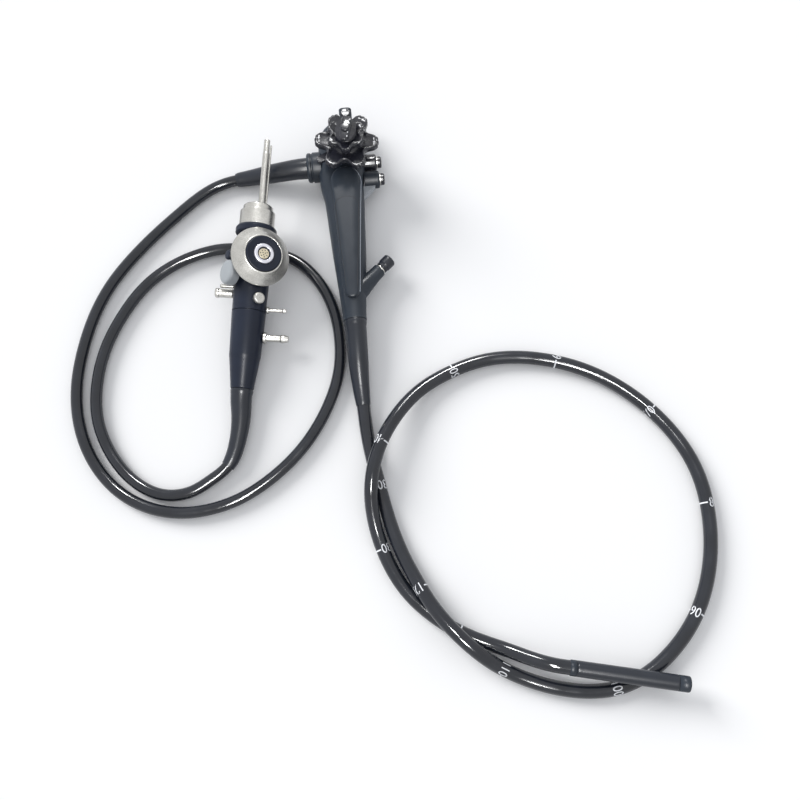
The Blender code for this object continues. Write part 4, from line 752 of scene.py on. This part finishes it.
def add_star_knob(name, low, thick, diameter, valley, bore, phase_deg, ribs):
    """Lobed knob from height low: each ring is a blend of a circle and the star outline. Rows are
    (radius or inset in mm, height, share of star, share of the ribs' depth)."""
    r = 0.5 * diameter
    top = low + thick
    hub = 0.42 * r
    rows = np.array((
        (bore, low, 0, 0), (hub, low, 0, 0), (0.56 * r, low + 0.7, 0, 0),
        (-3.2, low + 0.9, 1, 0), (-1.6, low + 1.2, 1, 0.5), (-0.5, low + 2, 1, 1),
        (0, low + 3.4, 1, 1), (0, top - 3.4, 1, 1), (-0.3, top - 1.9, 1, 1),
        (-1, top - 1, 1, 1), (-1.9, top - 0.8, 1, 0.6), (-3.2, top - 1.2, 1, 0),
        (0.6 * r, top - 2.3, 0, 0), (0.54 * r, top - 2.6, 0, 0), (hub + 1, top - 2.6, 0, 0),
        (hub + 0.5, top - 2.2, 0, 0), (hub - 0.1, top - 0.5, 0, 0), (hub - 0.8, top, 0, 0),
        (bore + 0.6, top, 0, 0), (bore, top - 0.5, 0, 0),
    ))
    inset, height, starry, ribbed = (rows[:, i:i + 1] for i in range(4))
    angle = around(12 * ribs)
    phase = math.radians(phase_deg)
    lobe = star_share(angle, phase)
    groove = RIB_DEPTH * (0.5 - 0.5 * np.cos(ribs * (angle - phase))) * np.clip(2.5 * lobe - 1.5, 0.0, 1.0)
    star = valley + (r - valley) * lobe + inset - ribbed * groove
    radius = starry * star + (1.0 - starry) * inset
    return add_surface(name, MM * turned_grid(radius, height, angle), knob_nylon, closed=True, sharp=50.0)


UD_KNOB_Z = 46.3
UD_KNOB_T = 10.0
LR_KNOB_Z = 57.3
LR_KNOB_T = 11.0
LOCK_KNOB_Z = 69.3
LOCK_KNOB_T = 6.5
UD_PHASE = 172.0
LR_PHASE = 85.0
finish_piece(add_star_knob("ud_knob_wheel", UD_KNOB_Z, UD_KNOB_T, diameter=62.0, valley=21.5, bore=4.4,
                           phase_deg=UD_PHASE, ribs=48), "ud_control", "knob_plastic", "ud_knob")
finish_piece(add_star_knob("lr_knob_wheel", LR_KNOB_Z, LR_KNOB_T, diameter=38.0, valley=14.5, bore=3.0,
                           phase_deg=LR_PHASE, ribs=30), "lr_control", "knob_plastic", "lr_knob")

# White direction arrows, printed on the lobes' tops
# The same white also paints the glints along the lock wing's edge.
print_and_glint_white = new_material("white_print_and_painted_glints", "f2f3f4", 0.5)


def add_plate(name, outline, heights, place, material):
    """Flat body: an outline of (x, y) in millimetres, repeated at each height."""
    grid = np.array([[(x, y, z) for x, y in outline] for z in heights])
    return add_surface(name, placed(grid, place), material)


def add_arrow(name, radius, heading_deg, height, size, body):
    """Thin arrow head with a bar behind it, lying on a knob and pointing round it."""
    outline = size * np.array(((-0.9, 0.25), (0.1, 0.25), (0.1, 0.62), (0.9, 0), (0.1, -0.62), (0.1, -0.25),
                               (-0.9, -0.25)))
    heading = math.radians(heading_deg)
    place = at(radius * math.cos(heading), radius * math.sin(heading), height)
    place = place @ Matrix.Rotation(heading + 0.5 * math.pi, 4, "Z")
    finish_piece(add_plate(name, outline, (0, 0.12), place, print_and_glint_white), body, "knob_plastic")


UD_PRINT_Z = UD_KNOB_Z + UD_KNOB_T - 1.15
LR_PRINT_Z = LR_KNOB_Z + LR_KNOB_T - 1.1
for i, turned in enumerate((0.0, 180.0, 240.0)):
    add_arrow("ud_arrow_%d" % (i + 1), 26.6, UD_PHASE + turned - 4.0, UD_PRINT_Z, 2.4, "ud_control")
    add_arrow("ud_mark_%d" % (i + 1), 26.2, UD_PHASE + turned + 5.0, UD_PRINT_Z, 1.5, "ud_control")
for i, turned in enumerate((118.0, 298.0)):
    add_arrow("lr_arrow_%d" % (i + 1), 15.2, LR_PHASE + turned, LR_PRINT_Z, 2.0, "lr_control")


# Lock lever and lock knob
# The lever ring under the large knob brakes it. The winged knob on top brakes the small one.
heading = math.radians(204.0)
LEVER_Z = 42.3
LEVER_T = 3.0
LEVER_REACH = 33.0
LEVER_HALF = 3.6
LEVER_RING_R = 13.0
LEVER_BORE = 5.5
HANDLE_TURN = 0.3
lever_angle = heading + np.concatenate((
    np.linspace(-HANDLE_TURN, HANDLE_TURN, 121),
    np.linspace(HANDLE_TURN, 2.0 * np.pi - HANDLE_TURN, 101)[1:-1],
))
# The lever's outline: a round ring with one long handle towards the heading, with a round end
away = np.abs((lever_angle - heading + np.pi) % (2.0 * np.pi) - np.pi)
handle = np.minimum(LEVER_REACH, LEVER_HALF / np.maximum(np.sin(np.minimum(away, 0.5 * np.pi)), 0.02))
tip_round = LEVER_REACH * np.sqrt(np.maximum(1.0 - (3.0 * away) ** 2, 0.0))
lever_r = np.maximum(np.minimum(handle, np.maximum(tip_round, LEVER_RING_R)), LEVER_RING_R)
lever_rows = np.array((
    (LEVER_BORE, 0, 0), (-0.4, 0, 1), (0, 0.5, 1), (0, LEVER_T - 0.6, 1),
    (-0.5, LEVER_T, 1), (LEVER_BORE, LEVER_T, 0),
))
inset, height, share = (lever_rows[:, i:i + 1] for i in range(3))
lever = MM * turned_grid(share * lever_r + inset, LEVER_Z + height, lever_angle)
finish_piece(add_surface("ud_lock_lever_skin", lever, knob_nylon, closed=True),
             "ud_lock", "knob_plastic", "ud_lock_lever")


def squarish(wave, power):
    """Cosine or sine pushed outwards, so that a circle drawn with it becomes squarish."""
    return np.sign(wave) * np.abs(wave) ** power


# Rows of the winged knob: long and short half width, height, and whether the wing's outline applies
wing_rows = np.array((
    (2.9, 2.9, 0, 0), (9.4, 9.4, 0, 0), (10, 10, 0.6, 0), (10, 10, 1.6, 0), (9.4, 9.4, 2, 0),
    (10.8, 9, 2.1, 1), (12.2, 5.4, 2.7, 1), (12.5, 4.8, 3.4, 1), (12.5, 4.8, 5.4, 1),
    (12.1, 4.4, 6.1, 1), (11.4, 3.8, LOCK_KNOB_T, 1), (2.9, 2.9, LOCK_KNOB_T, 0),
))
long_half, short_half, height, winged = (wing_rows[:, i:i + 1] for i in range(4))
angle = around(160)
wing_x = squarish(np.cos(angle), 0.55)
wing_y = squarish(np.sin(angle), 0.5) * (1.0 + 0.16 * wing_x)
u = long_half * np.where(winged, wing_x, np.cos(angle))
v = short_half * np.where(winged, wing_y, np.sin(angle))
wing_place = at(0, 0, LOCK_KNOB_Z) @ Matrix.Rotation(math.radians(76.0), 4, "Z")
wing = placed(np.stack((u, v, np.broadcast_to(height, u.shape)), axis=-1), wing_place)
finish_piece(add_surface("lr_lock_wing", wing, knob_nylon, closed=True),
             "lr_lock", "knob_plastic", "lr_lock_knob")

# Six short white dashes along the right edge of the wing, painted glints of its grip ribs
work = bmesh.new()
for u in (9.2, 5.2, 1.6, -1.2, -4.6, -8.8):
    dash = wing_place @ at(u, -3.1, LOCK_KNOB_T) @ Matrix.Diagonal((1.5, 0.8, 0.16, 1.0))
    bmesh.ops.create_cube(work, size=MM, matrix=dash)
finish_piece(object_of(work, "wing_painted_glints", print_and_glint_white), "lr_lock", "knob_plastic")


# Steel of the instrument
# Stainless steel, turned and satin finished: fine circular brush lines and a soft highlight.
satin_steel = new_material("satin_stainless_steel", "b7b6b2", 0.3, 1.0,
                           patch=(110, 5, "a4a39f", "cfceca"), gloss=(1500, 2, 0.35, 0.65, 0.22, 0.4))


def add_copy(name, node, material, body, slot):
    """Copy of a CAD node with its loose triangles merged and shaded smooth, to stand for it."""
    mesh = nodes[node].data.copy()
    work = bmesh.new()
    work.from_mesh(mesh)
    bmesh.ops.remove_doubles(work, verts=work.verts, dist=1e-6)
    work.to_mesh(mesh)
    work.free()
    mesh.materials.clear()
    mesh.materials.append(material)
    mesh.shade_smooth()
    mesh.set_sharp_from_angle(angle=math.radians(35.0))
    return finish_piece(add_object(name, mesh), body, slot, node)


# Shaft, drums and chassis: turned and pressed steel inside the head
for node, body in (("chassis_plate", "scope"), ("angulation_shaft", "scope"), ("ud_drum", "ud_control"),
                   ("lr_drum", "lr_control")):
    add_copy(node + "_steel", node, satin_steel, body, "steel")
add_part("shaft_cap_dome", ((0, 0), (4.4, 0), (4.4, 0.9), (3.6, 1.7), (0, 1.9)), knob_nylon,
         at(0, 0, 76.1), "scope", "steel", "shaft_cap", count=64)
add_copy("back_cover_moulding", "back_cover", head_abs, "scope", "head_plastic")


# Valves
# Two sleeves on the front of the head take the air and water button and the suction button, each
# on its spring. The caps are nylon with a rounded edge.
for prefix, y, reach, shell, slot in (("air_water", AIR_WATER_Y, 27.0, knob_nylon, "steel"),
                                      ("suction", SUCTION_Y, 28.5, head_abs, "head_plastic")):
    place = at(VALVE_SEAT_X, y, VALVE_Z) @ along_x
    length = reach - VALVE_SEAT_X
    add_part(prefix + "_sleeve", (
        (8.5, 0), (8.5, length - 1.2), (7.6, length), (6.1, length), (6.1, 1.4),
    ), shell, place, "scope", slot, prefix + "_cylinder")
    add_part(prefix + "_button_ring", (
        (2.6, length + 0.3), (5.95, length + 0.3), (5.95, length + 1.3), (2.6, length + 1.3),
    ), satin_steel, place, prefix + "_valve", "steel", closed=True, count=64, edge=0.2)
    add_part(prefix + "_cap", (
        (2.4, 6.2), (2.4, length - 2), (5.75, length - 2), (5.75, length + 3.8),
        (5.3, length + 4.8), (4.1, length + 5.2),
    ), knob_nylon, place, prefix + "_valve", "knob_plastic", prefix + "_button")
    spring = add_copy(prefix + "_spring_wire", prefix + "_spring", satin_steel, "scope", "spring_steel")
    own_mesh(spring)

# Web under the suction valve's sleeve, a triangle that stiffens it against the grip. Its light grey
# is a painted reflection of the sloped housing face there.
painted_reflection_grey = new_material("web_with_painted_reflection", "a3a8ad", 0.45)
finish_piece(add_plate("valve_web", ((10.8, -32.4), (24, -32.4), (11.6, -44)), (14, 15, 21, 22),
                       Matrix(), painted_reflection_grey), "scope", "head_plastic")


# Switches
# A small panel at the end of the head carries a key with a white print, and two plain keys sit on
# the front of the head.
PANEL_TOP_Y = 54.0
PANEL_ROUND = 2.0
panel_y = np.concatenate((
    np.linspace(38.3, PANEL_TOP_Y - PANEL_ROUND, 12),
    PANEL_TOP_Y - PANEL_ROUND * (1.0 - np.sin(np.linspace(0.0, 0.5 * np.pi, 10))),
))
panel_end = np.clip((panel_y - PANEL_TOP_Y) / PANEL_ROUND + 1.0, 0.0, 1.0)
panel_drop = PANEL_ROUND * (1.0 - np.sqrt(1.0 - panel_end ** 2))
panel = add_surface("switch_panel_skin", MM * rounded_rings(
    panel_y, np.full(panel_y.shape, 1.0), 6.3 - panel_drop, 11.0 + panel_drop, 29.0 - panel_drop,
    np.full(panel_y.shape, 3.2), across=8), head_abs)
panel_seat = at(1, 46.6, 26)
carve(panel, "DIFFERENCE", cutter(5.0, 0.0, SEAT_DEPTH, panel_seat))
finish_piece(panel, "scope", "head_plastic", "switch_panel")
pale_cap = new_material("pale_grey_silicone", "9a9fa3", 0.55)
key_paint = new_material("white_key_print", "f1f2f2", 0.4)


def key_profile(radius):
    """Profile of a key above its pocket's floor, with a softly dished top."""
    return ((0, 1.3), (radius, 1.3), (radius, 3.7), (radius - 0.8, 4.6), (radius - 1.8, 4.5), (0, 4.1))


add_part("switch_1_button_cap", key_profile(4.7), knob_nylon, panel_seat, "switch_1_button", "light_cap",
         "switch_1", count=64)
# The key's white print: a broad bar and a short one with a dark line between them
for i, (x, y, half_x, half_y) in enumerate(((0.3, -1.1, 3.1, 1.5), (-0.7, 2.2, 1.9, 1.2))):
    edge_x = x + half_x * squarish(np.cos(around(40)), 0.5)
    edge_y = y + half_y * squarish(np.sin(around(40)), 0.5)
    outline = np.stack((edge_x, edge_y), axis=1)
    bar = add_plate("switch_1_print_%d" % (i + 1), outline, (3.9, 4.75), panel_seat, key_paint)
    finish_piece(bar, "switch_1_button", "light_cap")
for name, place in side_switches:
    add_part(name + "_button_cap", key_profile(4.2), knob_nylon, place, name + "_button", "knob_plastic",
             name, count=48)


# Biopsy port
# A steel mouthpiece on the branch, under a soft rubber valve cap with a thick rim.
add_part("biopsy_mouthpiece", (
    (5.15, 0.3), (5.15, 1.6), (3.3, 1.6), (3.3, 8), (1.6, 8), (1.6, 3),
), satin_steel, port_place, "scope", "steel", "biopsy_inlet", count=64)
add_part("biopsy_valve_cap", (
    (3.6, 1.9), (5.7, 1.9), (5.7, 4.8), (6.4, 5.8), (6.5, 13.3), (5.6, 14.5), (1.6, 14.5), (1.2, 13.6),
    (1.2, 8.3), (3.6, 8.3),
), rubber, port_place, "scope", "soft_rubber", "biopsy_cap", closed=True, count=72)


# Bending section
# Riveted steel rings under a thin rubber sleeve. The sleeve is drawn as one length for each joint.
# Its two ends are drawn in.
PITCH = 0.0105
JOINTS = 8
END_L = 6.0
SLEEVE_BORE = 6.15
END_RADII = (6.5, 6.7, 6.78)


def bend_place(distance):
    """Frame at a distance along the straight section, with z along the section's axis."""
    origin = BEND_BASE + distance * BEND_FORWARD
    return Matrix.Translation(origin) @ Matrix.Rotation(BEND_HEADING, 4, "Z") @ along_x


for joint in range(JOINTS):
    middle = joint * PITCH
    low = -END_L if joint == 0 else -0.5 * PITCH / MM
    high = END_L if joint == JOINTS - 1 else 0.5 * PITCH / MM
    reach = np.linspace(low, high, 26)
    radius = np.full(reach.shape, SLEEVE_R / MM)
    if joint == 0:
        radius[:3] = END_RADII
    if joint == JOINTS - 1:
        radius[-3:] = END_RADII[::-1]
    radius = np.append(radius, (SLEEVE_BORE, SLEEVE_BORE))[:, None]
    grid = turned_grid(radius, np.append(reach, (high, low))[:, None], around(72))
    segment = add_surface("bending_sleeve_%d" % (joint + 1), placed(grid, bend_place(middle)), rubber,
                          closed=True, sharp=60.0)
    if joint == 0:
        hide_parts("bending_rubber")
    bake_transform(segment)
for i in range(1, JOINTS):
    add_copy("bending_ring_%d" % i, "bending_link_%d" % i, satin_steel, "link_%d" % i, "steel")
add_copy("base_ring_steel", "bending_base_ring", head_abs, "scope", "steel")

# Distal tip: a hard black end piece with its lenses, nozzle and channel mouth
add_copy("distal_tip_end", "distal_tip", head_abs, "tip", "head_plastic")
lens_glass = new_material("coated_lens_glass", "46525f", 0.05, coat=0.6)
for node in ("objective_lens", "light_lens_a", "light_lens_b"):
    add_copy(node + "_glass", node, lens_glass, "tip", "lens_glass")
add_copy("water_nozzle_steel", "water_nozzle", satin_steel, "tip", "steel")


# Light guide connector
# The plug at the cord's end: a black moulded body that lies on the table, a steel collar with the
# light guide rod, and a round steel video socket on top. Hoses go on the nipples at its sides.
connector_black = new_material("satin_moulded_connector", "1f232d", 0.34, specular=0.2,
                               grain=(900, 2, 0.1), patch=(50, 3, "1b202c", "272e3e"))


def on_connector(x, y, z):
    """Matrix at a point of the connector, with z along its axis towards the rod."""
    return connector_place @ at(x, y, z) @ along_y


connector_axis = on_connector(0, 0, 0)


def side_place(y, angle_deg, radius):
    """Matrix on the connector's side with z pointing out, at an angle from its right upwards."""
    a = math.radians(angle_deg)
    out = Vector((math.cos(a), 0.0, math.sin(a)))
    forward = Vector((0.0, 1.0, 0.0))
    turn = Matrix((forward.cross(out), forward, out)).transposed().to_4x4()
    return connector_place @ at(out.x * radius, y, out.z * radius) @ turn


def add_connector_piece(name, profile, material, place, slot, *nodes, **options):
    """Turned piece that goes with the connector."""
    add_part(name, profile, material, place, "scope", slot, *nodes, **options)


def add_steel(node, place, profile, **options):
    """Steel piece of the connector, named after its node."""
    add_connector_piece(node + "_steel", profile, satin_steel, place, "steel", node, **options)


BODY_R = 16.4
SIDE_R = 16.8
CAP_ANGLE = 138.0 + ROLL
VIDEO_Y = -24.0
VIDEO_SEAT_R = 14.3
body = add_turned("connector_body_skin", (
    (16.1, -73), (15.9, -70), (BODY_R, -47), (BODY_R, -1), (15.6, 2),
), connector_black, connector_axis)
cap_lug = add_turned("cap_lug", ((4.8, -3), (4.8, 11), (3.8, 12.4)),
                     connector_black, side_place(-23.6, CAP_ANGLE, BODY_R), edge=0.9)
carve(body, "UNION", cap_lug)
carve(body, "DIFFERENCE", cutter(VIDEO_SEAT_R, 0.0, SEAT_DEPTH, connector_place @ at(0, VIDEO_Y, 8)))
finish_piece(body, "scope", "head_plastic", "connector_body")
add_connector_piece("connector_tail_skin", (
    (10.4, TAIL_BACK), (10.9, -146.2), (11.2, -143), (14.2, -119), (14.7, -116),
    (16.1, -73.3),
), connector_black, connector_axis, "head_plastic", "connector_tail", edge=0.8)
add_connector_piece("front_flange_ring", (
    (18.5, 2.3), (19.5, 3.5), (19.5, 8), (18.1, 10),
), connector_black, connector_axis, "head_plastic", "front_flange")
add_steel("light_guide_collar", connector_axis, (
    (16.7, 10.3), (16.7, 25), (15.9, 26), (14.2, 26), (14.2, 30.4), (12.6, 32),
))
add_steel("light_guide_rod", on_connector(2.8, 0, 0), (
    (3.25, 32.3), (3.25, 86.3), (2.9, 87.3), (2.9, 100.3),
), count=64)
add_steel("air_pipe", on_connector(7.35, 0, -0.6), (
    (1, 32.3), (1, 95.7), (0.6, 96.3),
), count=32, edge=0.2)

# Video socket: steel shell, black insulator, nickel-plated inner ring and the pale contact block
video_place = connector_place @ at(0, VIDEO_Y, 0)
add_connector_piece("video_shell", (
    (14, 8.3), (14, 19.8), (27, 19.8), (28, 20.7), (28, 22), (26.4, 23.8),
    (22.6, 28), (18.7, 31.7), (18.1, 32.2), (17.1, 32.2), (17.1, 28.2),
), satin_steel, video_place, "steel", "video_housing", count=144)
add_connector_piece("video_insulator_ring", (
    (9.7, 28.5), (16.8, 28.5), (16.8, 32.8), (16, 33.4), (9.7, 32.4),
), connector_black, video_place, "head_plastic", "video_insulator", closed=True, count=120)
bright_nickel = new_material("bright_nickel_plate", "e3e3ea", 0.3, 0.7,
                             patch=(260, 4, "c9c9d4", "f0f0f6"))
add_connector_piece("video_inner_ring", (
    (6.2, 28.5), (9.4, 28.5), (9.4, 33.6), (8.6, 34.2), (6.2, 34.2),
), bright_nickel, video_place, "steel", "video_ring", closed=True)
contact_cream = new_material("gold_plated_contact_block", "e6dcc0", 0.4, 0.25,
                             patch=(420, 4, "d3c49c", "f2ead4"))
add_connector_piece("video_contacts", (
    (5, 28.5), (5, 32.5), (4.7, 32.9),
), contact_cream, video_place, "gold_contacts", "pin_block", count=64)
# A black ring parts the contacts from the nickel ring, and dark discs in two circles are painted
# shade of the pin holes
add_connector_piece("video_gap_ring", ((5.05, 28.5), (6.1, 28.5), (6.1, 33), (5.05, 33)), rubber,
                    video_place, "head_plastic", closed=True, count=64, edge=0.2)
PIN_R = 0.5 * MM
PIN_TOP = 32.8
work = bmesh.new()
for ring_radius, pins in ((3.2, 7), (1.3, 3)):
    for i in range(pins):
        turn = 2.0 * math.pi * i / pins + 0.4
        place = video_place @ at(ring_radius * math.cos(turn), ring_radius * math.sin(turn), PIN_TOP)
        bmesh.ops.create_cone(work, cap_ends=True, segments=16, radius1=PIN_R, radius2=PIN_R,
                              depth=0.4 * MM, matrix=place)
finish_piece(object_of(work, "video_pin_hole_shade", rubber), "scope", "gold_contacts")

# Side cap, nipples and the vent knob
add_connector_piece("side_cap_moulding", (
    (6, 0), (6, 2), (11.6, 2.6), (11.6, 10), (10.8, 11.4), (8.8, 12.2), (0, 12.4),
), pale_cap, side_place(-40, CAP_ANGLE, SIDE_R), "light_cap", "side_cap", edge=0.8)
add_steel("suction_nipple", side_place(-56, 180.0 + ROLL, SIDE_R), (
    (4.2, 0), (4.2, 12.6), (4.7, 13.4), (4.7, 15.4), (4, 16.6), (2.8, 16.6), (2.8, 8),
), count=64)
add_steel("side_pipe", side_place(-48.9, 180.0 + ROLL, SIDE_R), (
    (1.9, 0), (1.9, 12), (1.3, 12.8),
), count=40)
add_steel("vent_knob", side_place(-63, 56.0 + ROLL, SIDE_R), (
    (4.4, 0), (4.4, 1.2), (5.4, 1.8), (5.4, 5), (4.4, 6.2),
), count=64)
add_steel("air_nipple", side_place(-70, ROLL, SIDE_R), (
    (3.4, 0), (3.4, 2), (1.7, 2.6), (1.7, 15), (2.2, 15.8), (1.6, 18.5),
), count=48)
add_steel("water_nipple", side_place(-97, ROLL, 15.9), (
    (5.6, 0), (5.6, 2.6), (3.4, 3.2), (3.4, 16), (4, 17), (4, 19), (2.8, 23.5),
), count=56)
